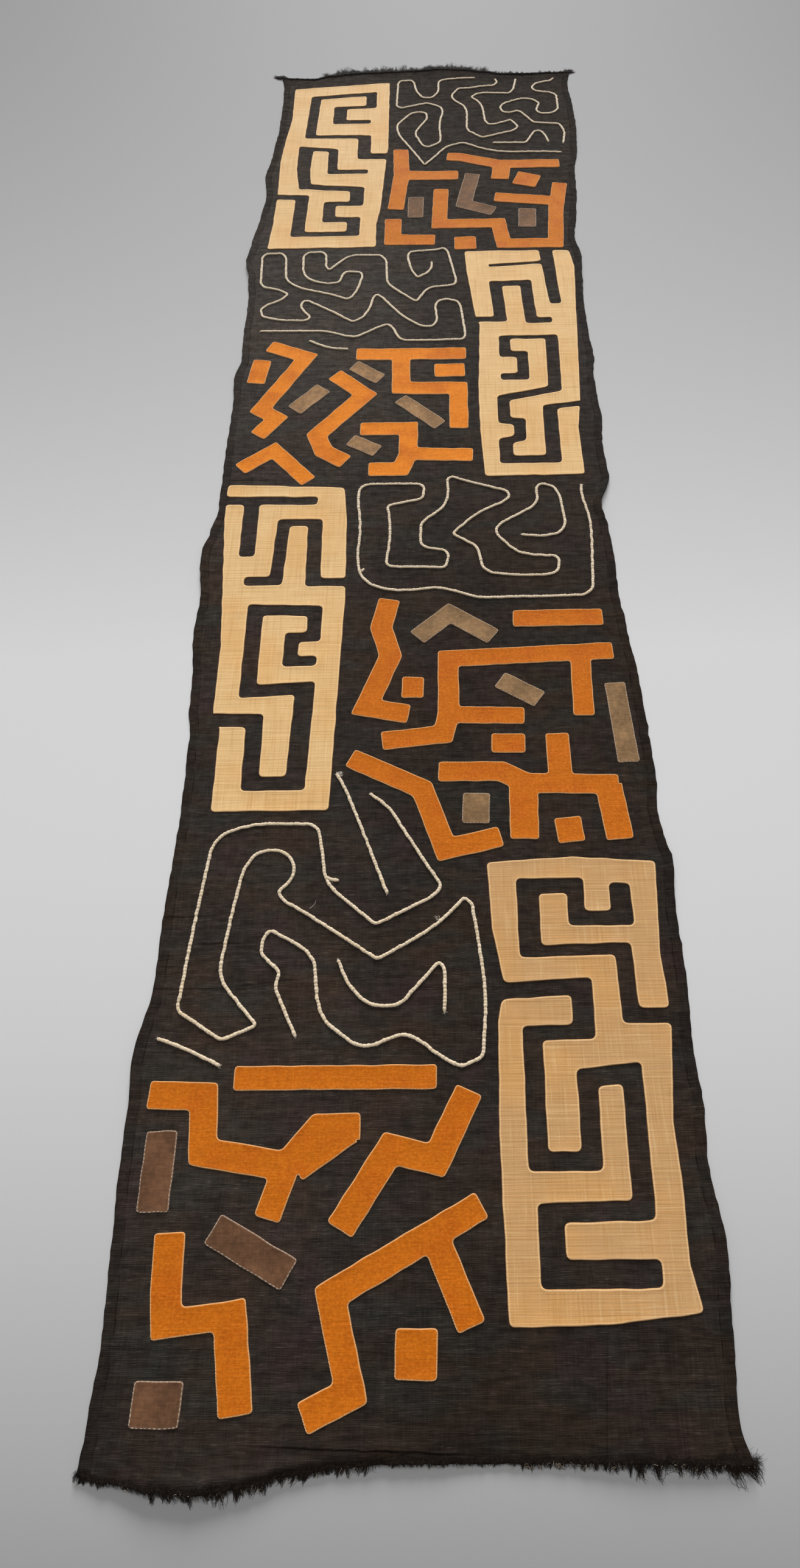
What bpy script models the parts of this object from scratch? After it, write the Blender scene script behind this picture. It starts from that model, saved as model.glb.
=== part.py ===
"""A kuba raffia overskirt, laid out flat: dark raffia ground, cut patches, couched cords and frayed ends.

The cloth is drawn on a chart in centimetres. Chart u runs from the left edge to the right edge, chart v from
the near end to the far end. The model's origin is the middle of the chart, on the underside of the ground.
"""

import math
import random
from collections import namedtuple

import bmesh
import bpy
from mathutils import Vector
from mathutils.geometry import delaunay_2d_cdt

CM = 0.01
MM = 0.001

# The chart's middle, in centimetres
CENTRE_U = 35.0
CENTRE_V = 143.0

# Chart places nearer than this are one place, in cm
SAME_PLACE = 1e-4

# Cloth thicknesses and the small gap between layers, in metres
GROUND_THICK = 0.0012
PATCH_THICK = 0.0009
LAYER_GAP = 0.0004

# Grid of the ground, in cm; its outermost lines run along the cloth's own edges and these steps inside them
COLUMN_PITCH = 5.0
ROW_PITCH = 7.0
FIRST_COLUMN, LAST_COLUMN = 5.0, 60.0
FIRST_ROW, LAST_ROW = 5.0, 278.0
EDGE_STEPS = (0.0, 1.0, 2.0)

# Cut edges of the patches are turned under by hand, which rounds each corner by about this radius, in cm
CORNER_RADIUS = 0.45
CORNER_SHARE = 0.4
SHARPEST_KEPT = math.radians(28)
SHORTEST_EDGE = 0.03
LEAST_TURN = 0.03
MITRE_TURN = 0.2

# The couched cord, in metres: a soft bundle, flat below and narrower above; the step between points is in cm
CORD_BASE = 0.0050
CORD_CROWN = 0.0028
CORD_HEIGHT = 0.0027
CORD_STEP = 5.5

# Frayed ends, in cm but for the thickness in metres
STRIP_DEPTH = 0.35
STRIP_THICK = 0.0010
STRIP_GAP = 0.03
STRAND_PITCH = 0.56
STRAND_WIDTH = 0.16
STRAND_SHORTEST, STRAND_LONGEST = 0.35, 1.5
MOSTLY_SHORT = 1.6
STRAND_LEAN, CORNER_LEAN = 0.3, 0.9
STRAND_SEED = 11

# Outline of the ground at its sides: chart v, then u of the left edge and of the right edge
Side = namedtuple("Side", "v left right")
SIDES = [
    Side(-2, -0.5, 70.3), Side(4, -0.1, 69.3), Side(12, 0.2, 69.8), Side(21, -0.2, 70.4),
    Side(30, -0.6, 69.5), Side(37, -0.6, 69.9), Side(44, -0.9, 69.5), Side(53, 0.4, 69.8),
    Side(64, 0.3, 69.6), Side(71, 0.5, 70.0), Side(75, 0.6, 69.2), Side(79, 0.7, 68.8),
    Side(84, 0.6, 69.2), Side(93, 0.4, 69.0), Side(98, -0.2, 68.7), Side(103, -0.4, 68.5),
    Side(113, -1.3, 67.6), Side(120, -1.0, 67.0), Side(128, -1.8, 67.0), Side(131, -1.8, 66.8),
    Side(134, -1.0, 66.6), Side(140, -0.2, 65.8), Side(147, -0.3, 67.7), Side(156, -0.4, 67.3),
    Side(163, -0.3, 67.8), Side(168, -0.3, 67.4), Side(175, -0.7, 67.2), Side(180, 0.2, 67.7),
    Side(187, -0.2, 67.2), Side(198, -0.2, 67.0), Side(206, -0.8, 67.3), Side(212, -1.8, 67.6),
    Side(219, -1.2, 66.7), Side(229, -0.2, 67.7), Side(236, 0.4, 68.3), Side(244, -0.4, 68.4),
    Side(254, 0.6, 69.6), Side(264, 1.3, 70.0), Side(273, 1.3, 69.8), Side(282, 1.0, 69.3),
    Side(290, -0.1, 70.1),
]

# Outline of the ground at its ends: chart u, then v of the near edge and of the far edge
End = namedtuple("End", "u near far")
ENDS = [
    End(-1, -0.6, 288.1), End(3, -1.4, 287.4), End(8, -2.2, 287.0), End(12, -2.5, 288.4),
    End(17, -1.9, 289.3), End(22, -0.8, 289.8), End(27, -0.2, 290.0), End(32, 0.1, 290.3),
    End(38, 0.1, 291.0), End(44, 0.1, 290.6), End(49, 0.1, 289.4), End(54, 0.0, 288.2),
    End(60, -0.1, 288.1), End(66, -0.2, 288.4), End(71, -0.3, 288.6),
]

# Low swells where the ground does not lie hard on the floor: centre and half-lengths in cm, height in mm
Swell = namedtuple("Swell", "u v across along height")
SWELLS = [
    Swell(15, 32, 22, 27, 1.6), Swell(55, 64, 22, 28, 1.5), Swell(13, 98, 20, 28, 1.6),
    Swell(13, 184, 20, 28, 1.6), Swell(54, 204, 22, 28, 1.5), Swell(17, 244, 22, 28, 1.6),
    Swell(55, 262, 21, 24, 1.5),
]

# Places where a side edge curls up: side, middle and half-length in cm, height in mm
Curl = namedtuple("Curl", "side v half height")
CURLS = [
    Curl("left", 44, 15, 4.0), Curl("left", 128, 16, 5.0), Curl("left", 176, 12, 3.0),
    Curl("left", 212, 15, 4.5), Curl("right", 22, 16, 3.5), Curl("right", 70, 12, 3.0),
    Curl("right", 141, 14, 4.5), Curl("right", 211, 12, 3.5), Curl("left", 266, 14, 3.5),
    Curl("right", 262, 16, 3.5),
]
CURL_REACH = 2.0

# The shallow pleat along the near end, left of the middle, in cm and mm
PLEAT_U, PLEAT_HALF, PLEAT_INSET, PLEAT_REACH, PLEAT_HEIGHT = 21.0, 19.0, 1.0, 1.0, 3.0

# A bar of cut cloth: its width and its middle line
Bar = namedtuple("Bar", "width route")

# A fret: its outline, and the slots cut through it, each leg of a slot with its own width
Slot = namedtuple("Slot", "widths route")
Fret = namedtuple("Fret", "outline slots")

# Bands 1 to 4 run from the far end to the near end
NATURAL_FRETS = {
    "natural_1": Fret(
        outline=[(2.1, 216.6), (24.9, 216.7), (24.8, 225), (25.6, 231), (26.1, 245), (26.7, 255),
                 (26.7, 275), (26.5, 284.4), (14, 283.2), (3.7, 282), (3.9, 268), (3.1, 260), (2.5, 250),
                 (2.8, 237), (2.6, 225)],
        slots=[
            Slot([2.3, 2.9, 1.4, 2.3, 1.5, 2.4, 1.2, 3.0, 1.6],
                 [(28.5, 251.5), (21.3, 251.5), (21.2, 259.9), (8.6, 260.3), (9.1, 277.7), (22.3, 279.2),
                  (22.3, 273.3), (15.1, 272.9), (15.1, 266.6), (22.4, 266.6)]),
            Slot([1.6, 2.1, 1.4, 3.3, 2.6, 1.9, 3.0, 1.5, 2.6, 1.8, 2.7, 1.6, 2.8, 1.8],
                 [(22.4, 245.2), (14.4, 245.2), (14.3, 254.1), (8, 255.3), (7.9, 247), (8.6, 239.5),
                  (20.3, 238.2), (20.2, 232.7), (14.5, 232.7), (14.5, 226.8), (19.9, 226.8), (19.9, 221.6),
                  (8.1, 221.6), (8.4, 235.3), (0.5, 236.1)]),
        ],
    ),
    "natural_2": Fret(
        outline=[(46, 147.6), (63.6, 147.7), (63.3, 160), (64.2, 167.5), (64.8, 180), (65.1, 192),
                 (65.9, 209), (65.1, 214.5), (43.4, 214.6), (43.7, 208), (45.2, 193), (46, 190),
                 (45.4, 172), (45.4, 160)],
        slots=[
            Slot([2.8, 2.2], [(60.2, 217), (60.5, 209.5), (61.3, 196.4)]),
            Slot([0.9], [(60.5, 210.4), (48.3, 209.3)]),
            Slot([1.5, 2.4, 1.7, 2.3, 1.7],
                 [(43, 191.7), (50.2, 191.7), (49.5, 203.2), (55.6, 203.3), (56.2, 191.2), (60.3, 191.3)]),
            Slot([1.9, 2.1, 1.7, 2.1, 1.0, 2.4, 1.8, 2.2, 1.8, 2.1, 1.7, 2.4, 1.9, 2.6, 1.3],
                 [(49.7, 174.3), (54, 174.4), (54, 180.9), (50.7, 181), (50.7, 186), (59.9, 186.1),
                  (59.7, 170.7), (49.9, 168.2), (49.9, 162.1), (52.7, 161.7), (52.6, 157.3), (50, 156.6),
                  (50, 151.7), (58.4, 151.7), (58.4, 165.6), (66, 166.8)]),
        ],
    ),
    "natural_3": Fret(
        outline=[(5, 79.6), (21.9, 79.6), (22.4, 97), (22.6, 120), (22.1, 138), (21.4, 145.2), (0.9, 146.3),
                 (1.1, 138), (2.3, 122), (3.3, 110), (3.5, 97), (4.8, 94)],
        slots=[
            Slot([1.9], [(-1, 142.4), (16.9, 142)]),
            Slot([2.6], [(5.5, 142.4), (5.7, 129.1)]),
            Slot([1.9, 2.1, 1.6, 2.4, 1.7],
                 [(5.8, 123.6), (11, 123.6), (11.4, 136.8), (16.8, 136.8), (17.1, 123.2), (24, 123.1)]),
            Slot([1.9, 2.2, 1.9, 2.2, 2.2, 2.5, 2.3, 2.9, 2.3, 2.5, 2.4],
                 [(18.6, 106.7), (14.5, 106.7), (14.5, 111.5), (17.9, 111.6), (17.9, 117), (8.2, 117.4),
                  (8.4, 100.9), (17.2, 101.4), (16.8, 84.2), (10.2, 84.2), (10, 95.4), (2, 95.7)]),
        ],
    ),
    "natural_4": Fret(
        outline=[(45.2, 12.8), (56, 13), (67, 14.1), (66.4, 28), (66, 35), (67.2, 48), (66.8, 58),
                 (67.6, 70.8), (56, 71.6), (44.2, 70.9), (44.7, 61), (46, 53), (45.1, 48), (44.8, 34)],
        slots=[
            Slot([2.0, 2.2, 1.6, 2.9, 2.3, 2.2, 2.1, 2.8],
                 [(69, 48.5), (62.1, 48.6), (61.9, 57.8), (49.7, 57.5), (49.7, 67.1), (56.2, 67.1),
                  (56.1, 62.2), (62.3, 62.2), (62.3, 67.4)]),
            Slot([2.2, 2.7, 1.9, 2.4, 2.2, 2.4, 2.4, 2.5, 2.2, 3.0, 3.0],
                 [(43, 51.9), (56.1, 52.6), (56, 46.5), (49.4, 46.4), (49.4, 30.6), (55.8, 30.6),
                  (55.9, 40.6), (61.5, 41.2), (61.4, 25), (50.5, 24.8), (50.5, 18.2), (62.7, 18.2)]),
        ],
    ),
}

ORANGE_BARS = {
    "orange_1_tee": [Bar(3.5, [(29.6, 254.3), (29.9, 243.5), (28.8, 230.4)]),
                     Bar(3.5, [(29.9, 243.6), (42.5, 243.5)])],
    "orange_1_stub_bar": [Bar(3.2, [(40, 251.1), (43.5, 250.7), (51.5, 247.6), (65.2, 247.7)]),
                          Bar(4.0, [(52.3, 247.7), (51.7, 241.7)])],
    "orange_1_tilted_square": [Bar(4.9, [(55.1, 242.2), (60.1, 240.5)])],
    "orange_1_long_path": [Bar(3.3, [(38.7, 238), (38.2, 224.8), (50.8, 224.8), (51.7, 217.2), (62.6, 217.2),
                                     (63.4, 230), (64.8, 239.8)]),
                           Bar(3.4, [(50.3, 234.7), (63.6, 232.8)])],
    "orange_1_ell": [Bar(3.6, [(28.4, 226.8), (28.4, 219.2), (37.3, 219)])],
    "orange_1_small_square": [Bar(4.6, [(43.6, 219.9), (43.7, 215.4)])],
    "orange_2_hook": [Bar(3.3, [(5.2, 184.3), (12.6, 180.8), (5, 165.9), (8.1, 163.5), (4.9, 158.9)])],
    "orange_2_lozenge": [Bar(3.5, [(4.2, 180.2), (3.4, 173.4)])],
    "orange_2_chevron": [Bar(3.1, [(2.6, 150.2), (8.3, 155), (15, 146.9)])],
    "orange_2_wave": [Bar(3.5, [(18.2, 175.6), (24.2, 169.8), (15.8, 158.8), (17.2, 154.6), (21.3, 151.7)])],
    "orange_2_flag": [Bar(3.4, [(22.1, 181.5), (43.2, 181.5)]),
                      Bar(3.5, [(30.7, 181.5), (30.9, 171.6), (41.6, 171.3), (41.6, 160.2)])],
    "orange_2_small_bar": [Bar(3.8, [(37.1, 176.5), (42.9, 176.6)])],
    "orange_2_branch": [Bar(3.4, [(23.6, 160.3), (32.4, 160.3), (32.4, 153.4), (31.2, 149.7), (25.4, 149.7)]),
                        Bar(3.3, [(32.4, 153.6), (44, 153.1)])],
    "orange_3_zigzag": [Bar(3.5, [(29.8, 119.3), (28.6, 113.3), (30.2, 107.6), (26.7, 97.7), (33.2, 96.4)])],
    "orange_3_small_square": [Bar(3.4, [(33.8, 103.4), (33.7, 99.4)])],
    "orange_3_short_bar": [Bar(3.4, [(49.6, 114.9), (64, 115)])],
    "orange_3_big_branch": [Bar(3.3, [(65, 108.1), (39.2, 106.9), (39.2, 96.6), (38.4, 92.6), (29.2, 91.5)]),
                            Bar(3.2, [(59.8, 107.4), (59.6, 95.7)]), Bar(3.1, [(39.4, 96.2), (50.6, 95.8)])],
    "orange_3_small_bar": [Bar(3.4, [(45.5, 90.9), (50.5, 90.8)])],
    "orange_3_long_bend": [Bar(3.3, [(24.6, 88.6), (35.3, 83), (38.6, 73.1), (46.4, 75)])],
    "orange_3_comb": [Bar(3.4, [(37.6, 86), (46.8, 85.9), (50.5, 83.8), (63.7, 83.4)]),
                      Bar(3.5, [(55.3, 92.5), (55.4, 83.8)]), Bar(4.1, [(49.9, 84), (49.7, 74.5)]),
                      Bar(3.9, [(62.2, 83.4), (63.1, 74.3)])],
    "orange_3_comb_square": [Bar(3.8, [(55.9, 78), (56.3, 73.9)])],
    "orange_4_long_bar": [Bar(3.1, [(12.1, 41), (37.3, 41)])],
    "orange_4_branch": [Bar(3.5, [(1.7, 39.1), (8.6, 38.8), (9.2, 32.1), (19.6, 30.3)]),
                        Bar(3.3, [(19.3, 30.5), (23, 34.9), (28, 35)]),
                        Bar(2.6, [(27, 34.2), (20.6, 29.8)]), Bar(3.2, [(19.4, 30.5), (17.5, 24.4)])],
    "orange_4_zigzag": [Bar(3.5, [(41.3, 39.3), (37.2, 30.9), (31.7, 32.3), (26, 23.2)])],
    "orange_4_step": [Bar(3.6, [(6.4, 23.1), (6.7, 16.8), (7.4, 12.1)]),
                      Bar(3.0, [(6.2, 13.5), (15.3, 14.5)]), Bar(3.8, [(13.9, 15.9), (15.7, 4.6)])],
    "orange_4_big_branch": [Bar(3.3, [(42.5, 25.8), (25.3, 16.3), (27.9, 6.6), (22.8, 4.3)]),
                            Bar(3.3, [(37.2, 22), (41.1, 12.9)])],
    "orange_4_square": [Bar(4.7, [(35, 12.9), (34.9, 7.8)])],
}

BROWN_BARS = {
    "brown_1_bend": [Bar(3.4, [(45.7, 243.9), (43.6, 232.2), (50, 229.2)])],
    "brown_1_left_bar": [Bar(3.4, [(33.2, 235), (33.1, 227.3)])],
    "brown_1_right_bar": [Bar(3.8, [(57.2, 230), (56.9, 223.2)])],
    "brown_2_top_slant": [Bar(3.1, [(21.7, 178.2), (27, 174.2)])],
    "brown_2_left_slant": [Bar(3.4, [(16.4, 171.8), (11.2, 165.7)])],
    "brown_2_long_slant": [Bar(3.0, [(30.8, 168.5), (38.2, 161.1)])],
    "brown_2_small_slant": [Bar(3.1, [(21.9, 157.5), (26.9, 154.4)])],
    "brown_3_chevron": [Bar(3.3, [(34.3, 111.2), (39.5, 116.2), (46.4, 111.2)])],
    "brown_3_slant": [Bar(3.3, [(47.1, 102.7), (53.1, 98.8)])],
    "brown_3_long_bar": [Bar(3.2, [(64.7, 101.8), (65.5, 87.2)])],
    "brown_3_square": [Bar(3.9, [(43.1, 82.2), (42.9, 77.2)])],
    "brown_4_left_bar": [Bar(3.8, [(4, 34.7), (4, 25.3)])],
    "brown_4_slant": [Bar(3.7, [(11.3, 23.5), (20.5, 18.4)])],
    "brown_4_square": [Bar(4.5, [(4.4, 5.8), (9.8, 5.7)])],
}

# The couched cords, each one length laid down in a winding line
CORDS = {
    "cord_1_left": [
        (47, 286.1), (43.5, 286.2), (38.8, 285.2), (38.2, 284), (38.2, 279.5), (36.7, 277), (34.4, 277.2),
        (32.9, 280), (32.3, 284.4), (31.6, 285.3), (29.1, 285.1), (28.5, 284), (28.3, 273.4), (29.2, 272.5),
        (33, 273.8), (35.6, 274.6), (38.8, 272.6), (39.2, 270.5), (38.3, 265), (38.7, 258), (38.1, 256.8),
        (35.7, 255), (34.4, 256), (32.8, 260.7), (33.2, 262.7), (35.6, 267.6), (35.3, 270), (33.5, 270.7),
        (31.7, 270), (28.5, 265), (28.8, 261), (32.1, 254.2), (35, 247.8), (40.1, 255.5), (43.6, 256.8),
        (49, 253.6), (52.5, 252.6), (66, 252.3)],
    "cord_1_middle": [
        (51.9, 285.4), (52.4, 283.7), (51.5, 282.4), (48, 282), (46.3, 281.3), (43, 281.2), (41.3, 278),
        (41.7, 276), (44.3, 273), (44.9, 270), (44.7, 262.3), (46, 260.8), (48.2, 258.8), (51, 259.8),
        (55.6, 261.5), (56.6, 263.3), (55, 266.2), (51.6, 264.5), (49.8, 264.3), (49, 266), (48.6, 272),
        (47.8, 274.7), (46, 276.9), (47, 278.3), (49, 279), (55.2, 278.5), (56.2, 280.5), (56.9, 285.2)],
    "cord_1_right": [
        (66, 285.4), (65.3, 284.2), (63, 283.7), (61.4, 282.8), (60.5, 280.8), (61.4, 279.4), (65, 278.7),
        (66.3, 277.4), (66.3, 270.6), (64.8, 269), (62, 269), (61.1, 270.4), (62, 273.7), (60.6, 275.5),
        (58, 276.1), (53.6, 273.8), (52.6, 271.8), (53.4, 269.6), (55, 269.5), (56.9, 270.3), (57.8, 269.3),
        (60.3, 264.9), (63.5, 264.5), (66.2, 264.3), (67.3, 260.8), (66.6, 255.9)],
    "cord_1_arch": [
        (50.5, 256.5), (58.1, 256.2), (59.4, 259.1), (60.2, 261.1), (61.5, 261.4), (62.4, 260.1),
        (63.3, 256.6)],
    "cord_2_main": [
        (3, 189), (16, 188.7), (20, 187.1), (22, 186.8), (26, 189.7), (28, 190.8), (29, 189.6),
        (30.2, 186.4), (31.3, 185.6), (42.8, 185.7), (43.2, 187), (42.4, 196), (41.7, 197.8),
        (39.3, 198.6), (37.8, 197.8), (37.3, 196.4), (37.7, 191.6), (36.8, 189.9), (34.7, 189.9),
        (31, 193), (26.5, 199.6), (25.6, 200.5), (24.9, 199.4), (24.2, 195.5), (23, 192.9), (21, 191.6),
        (16, 195.5), (12, 198.5), (10.9, 198.5), (10.4, 196.6), (11.3, 195), (12.6, 193.2), (11.9, 192.1),
        (6.5, 192.3), (3, 193.7), (2.5, 196), (3.6, 197.4), (6.6, 199.1), (7.7, 200.9), (5.4, 202.6),
        (2.6, 203.2), (1.8, 204.5), (1.4, 213.5), (2.1, 214.8), (5.4, 214.9), (6.4, 213.4), (6.8, 206),
        (8.5, 203.9), (11, 202.3), (16, 200.8), (19.7, 198.9), (20.6, 199.7), (21.6, 202), (22.5, 206.8),
        (22, 208.1), (19.2, 208.2), (18.4, 207.2), (17.9, 204.7), (16, 204.2), (13, 204.8), (10.9, 206.5),
        (10.2, 208.5), (10, 213.8), (10.9, 215.1), (14, 215.1), (14.7, 213.9), (14.8, 210.2),
        (15.5, 208.8), (18.8, 213), (20.4, 213.9), (25.9, 213.8), (27.2, 212), (27.6, 204), (29.5, 201.8),
        (33.5, 197.9), (34.3, 199.2), (35.4, 201.6), (36.9, 202.7), (41.3, 203.2), (41.6, 204.8),
        (39.9, 215), (39.1, 216), (37.8, 215.4), (32, 214.8), (31.6, 213), (32.4, 208.6), (33.7, 205.8),
        (35.9, 207.5), (36.6, 209.2), (36.6, 211.2)],
    "cord_2_short": [(12.8, 185.8), (14.5, 184.6), (17, 183.4), (20.5, 183.1)],
    "cord_3_main": [
        (62.7, 145.2), (62.6, 142.5), (63.6, 137.3), (63.6, 133), (62.9, 121), (61.6, 119.7),
        (56, 119.5), (44, 119.4), (41.5, 120.5), (37.4, 121.9), (34, 121.2), (30, 121.2), (26.6, 122.4),
        (24.7, 124.8), (24.2, 129), (24.6, 135.5), (23.9, 141.5), (24, 144.8), (25.2, 145.9),
        (34.6, 145.9), (35.4, 144.8), (35, 142.2), (29, 140.6), (29.5, 137), (29.6, 132), (29, 127.2),
        (29.9, 126.4), (38.9, 126.1), (39.5, 128.8), (38.8, 130), (35.6, 130.6), (34.7, 131.7),
        (34.8, 136), (35.7, 137.3), (38.7, 140), (39.5, 142.7), (39.4, 147), (40.2, 147.5),
        (42.5, 146.5), (49.8, 143.8), (50.1, 142.3), (48.8, 141), (44.4, 138.6), (40.1, 133.8),
        (44.1, 130.8), (44.6, 129), (45, 126), (46.3, 124.8), (51, 124.1), (56, 124.2), (57.5, 125),
        (57.8, 127.6), (57, 128.4), (54, 128.5), (50.9, 129.3), (47.7, 133.3), (47.5, 134.8),
        (48.6, 136.2), (54.1, 140), (54.9, 141.5), (54.8, 144.6), (55.8, 145.6), (57.9, 144.8),
        (58.8, 142.5), (59.4, 135.6), (58.3, 133.6), (55.5, 132.9), (51.7, 133.3)],
    "cord_4_short": [(22.7, 85.8), (24, 83.6), (26.4, 77.5), (28.8, 71), (30.6, 66.2)],
    "cord_4_main": [
        (27.7, 82.4), (30.6, 80), (32.4, 76.8), (36, 70.6), (38, 67.4), (37, 65.9), (29.1, 61.7),
        (23.2, 66.9), (21.9, 69), (21.3, 73.5), (20.6, 76.6), (19.3, 77.4), (11.4, 77.5), (7.2, 76),
        (5.8, 74), (4.7, 62), (3.9, 49.9), (10, 45.9), (14.3, 47.8), (9.4, 53.5), (8.8, 55.6), (9.7, 64),
        (10.6, 70.3), (12.1, 72.8), (14.8, 73.4), (17, 72.3), (17.8, 69.9), (17, 68.1), (15.6, 66.7),
        (16.6, 65.3), (19.5, 63.6), (29.5, 56.7), (37, 61.2), (41.2, 65.6), (42.1, 64.6), (43.2, 56.5),
        (43.7, 51), (43.1, 43.4), (40.3, 42.2), (37.5, 43.7), (35, 45.8), (33, 46.6), (28.8, 44.9),
        (26.8, 45.2), (23, 48.2), (21.9, 50.6), (21.2, 56.6), (19.6, 58.5), (15, 61.1), (14.2, 60),
        (14, 57.7), (16.8, 55), (16.2, 53), (19.4, 46.2)],
    "cord_4_chevron": [
        (24.3, 56.7), (25.6, 53.4), (28, 50.8), (30, 50.2), (32.6, 50.4), (37.6, 56.3), (38.4, 55.2),
        (38.3, 49.3)],
    "cord_4_dash": [(1.8, 46.3), (6, 44.7), (10.2, 42.6)],
}

# Finishes: colour, roughness
FINISHES = {
    "ground_raffia": ((0.026, 0.021, 0.018), 0.86),
    "natural_raffia": ((0.640, 0.390, 0.150), 0.80),
    "orange_raffia": ((0.680, 0.190, 0.014), 0.82),
    "brown_raffia": ((0.170, 0.105, 0.070), 0.84),
    "cream_cord": ((0.760, 0.660, 0.520), 0.78),
    "frayed_raffia": ((0.012, 0.009, 0.007), 0.90),
}


def smooth_step(t):
    """Rises from 0 to 1 with level ends."""
    t = min(1.0, max(0.0, t))
    return t * t * (3.0 - 2.0 * t)


def between_rows(rows, key, value, at):
    """The value of a table's column at a place between its rows, eased from row to row."""
    places = [getattr(row, key) for row in rows]
    if at <= places[0]:
        return getattr(rows[0], value)
    for low, high in zip(rows, rows[1:]):
        start, end = getattr(low, key), getattr(high, key)
        if at <= end:
            share = smooth_step((at - start) / (end - start))
            return getattr(low, value) * (1.0 - share) + getattr(high, value) * share
    return getattr(rows[-1], value)


def left_edge(v):
    return between_rows(SIDES, "v", "left", v)


def right_edge(v):
    return between_rows(SIDES, "v", "right", v)


def near_edge(u):
    return between_rows(ENDS, "u", "near", u)


def far_edge(u):
    return between_rows(ENDS, "u", "far", u)


def dome(share):
    """A low mound's height at a share of its half-length from the middle: 1 at the middle, 0 from 1 on."""
    return 0.5 + 0.5 * math.cos(math.pi * min(1.0, abs(share)))


def floor_height(u, v):
    """Height in metres of the ground's underside over the floor."""
    rise = 0.0
    for swell in SWELLS:
        share = math.hypot((u - swell.u) / swell.across, (v - swell.v) / swell.along)
        rise += swell.height * dome(share)
    for curl in CURLS:
        inside = u - left_edge(v) if curl.side == "left" else right_edge(v) - u
        reach = max(0.0, 1.0 - inside / CURL_REACH)
        rise += curl.height * dome((v - curl.v) / curl.half) * reach ** 2
    from_end = v - near_edge(u) - PLEAT_INSET
    rise += PLEAT_HEIGHT * dome(from_end / PLEAT_REACH) * dome((u - PLEAT_U) / PLEAT_HALF)
    return rise * MM


def on_chart(u, v, height=0.0):
    """A chart place and a height in metres, as a point of the model."""
    return Vector(((u - CENTRE_U) * CM, (v - CENTRE_V) * CM, height))


def new_collection(name):
    made = bpy.data.collections.new(name)
    bpy.context.scene.collection.children.link(made)
    return made


def new_finish(name):
    colour, roughness = FINISHES[name]
    made = bpy.data.materials.new(name)
    made.use_nodes = True
    shader = made.node_tree.nodes["Principled BSDF"]
    shader.inputs["Base Color"].default_value = (*colour, 1.0)
    shader.inputs["Roughness"].default_value = roughness
    shader.inputs["Metallic"].default_value = 0.0
    return made


def add_object(name, data, finish, collection):
    made = bpy.data.objects.new(name, data)
    data.materials.append(finish)
    collection.objects.link(made)
    return made


def thicken(piece, thickness):
    """Gives an open sheet its thickness, upward from where it lies."""
    solidify = piece.modifiers.new("Thickness", "SOLIDIFY")
    solidify.thickness = thickness
    solidify.offset = 1.0
    solidify.use_even_offset = False


def ground_columns():
    count = round((LAST_COLUMN - FIRST_COLUMN) / COLUMN_PITCH) + 1
    return [FIRST_COLUMN + COLUMN_PITCH * index for index in range(count)]


def ground_rows():
    count = round((LAST_ROW - FIRST_ROW) / ROW_PITCH) + 1
    return [FIRST_ROW + ROW_PITCH * index for index in range(count)]


def ground_place(column, row):
    """Chart place of one crossing of the ground's grid, whose outer lines follow the cloth's own edges."""
    edge_lines = len(EDGE_STEPS)
    inner_columns, inner_rows = ground_columns(), ground_rows()

    def across(v):
        if column < edge_lines:
            return left_edge(v) + EDGE_STEPS[column]
        if column >= edge_lines + len(inner_columns):
            return right_edge(v) - EDGE_STEPS[2 * edge_lines - 1 - column + len(inner_columns)]
        return inner_columns[column - edge_lines]

    if row < edge_lines:
        u = across(near_edge(0.0) + EDGE_STEPS[row])
        return u, near_edge(u) + EDGE_STEPS[row]
    if row >= edge_lines + len(inner_rows):
        inset = EDGE_STEPS[2 * edge_lines - 1 - row + len(inner_rows)]
        u = across(far_edge(0.0) - inset)
        return u, far_edge(u) - inset
    v = inner_rows[row - edge_lines]
    return across(v), v


def grid_size():
    return len(ground_columns()) + 2 * len(EDGE_STEPS), len(ground_rows()) + 2 * len(EDGE_STEPS)


def make_ground(finish, collection):
    columns, rows = grid_size()
    sheet = bmesh.new()
    bmesh.ops.create_grid(sheet, x_segments=columns - 1, y_segments=rows - 1, size=1.0)
    for corner in sheet.verts:
        column = round((corner.co.x + 1.0) / 2.0 * (columns - 1))
        row = round((corner.co.y + 1.0) / 2.0 * (rows - 1))
        u, v = ground_place(column, row)
        corner.co = on_chart(u, v, floor_height(u, v))
    data = bpy.data.meshes.new("ground_cloth")
    sheet.to_mesh(data)
    sheet.free()
    thicken(add_object("ground_cloth", data, finish, collection), GROUND_THICK)


def crossing(point_a, along_a, point_b, along_b):
    """Where two lines in the chart cross."""
    turn = along_a.cross(along_b)
    reach = (point_b - point_a).cross(along_b) / turn
    return point_a + along_a * reach


def bar_quads(route, widths):
    """The legs of a bent bar as four-cornered shapes that share their mitred corners."""
    places = [Vector(place) for place in route]
    ways = [(end - start).normalized() for start, end in zip(places, places[1:])]
    sides = [Vector((-way.y, way.x)) for way in ways]
    ends = []
    for joint, place in enumerate(places):
        before, after = max(0, joint - 1), min(joint, len(ways) - 1)
        corner = []
        for hand in (1, -1):
            a = place + sides[before] * (hand * widths[before] / 2)
            b = place + sides[after] * (hand * widths[after] / 2)
            bent = before != after and abs(ways[before].cross(ways[after])) > MITRE_TURN
            corner.append(crossing(a, ways[before], b, ways[after]) if bent else (a + b) / 2)
        ends.append(corner)
    return [[start[0], start[1], end[1], end[0]] for start, end in zip(ends, ends[1:])]


def signed_area(loop):
    return 0.5 * sum(a.x * b.y - b.x * a.y for a, b in zip(loop, loop[1:] + loop[:1]))


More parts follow.
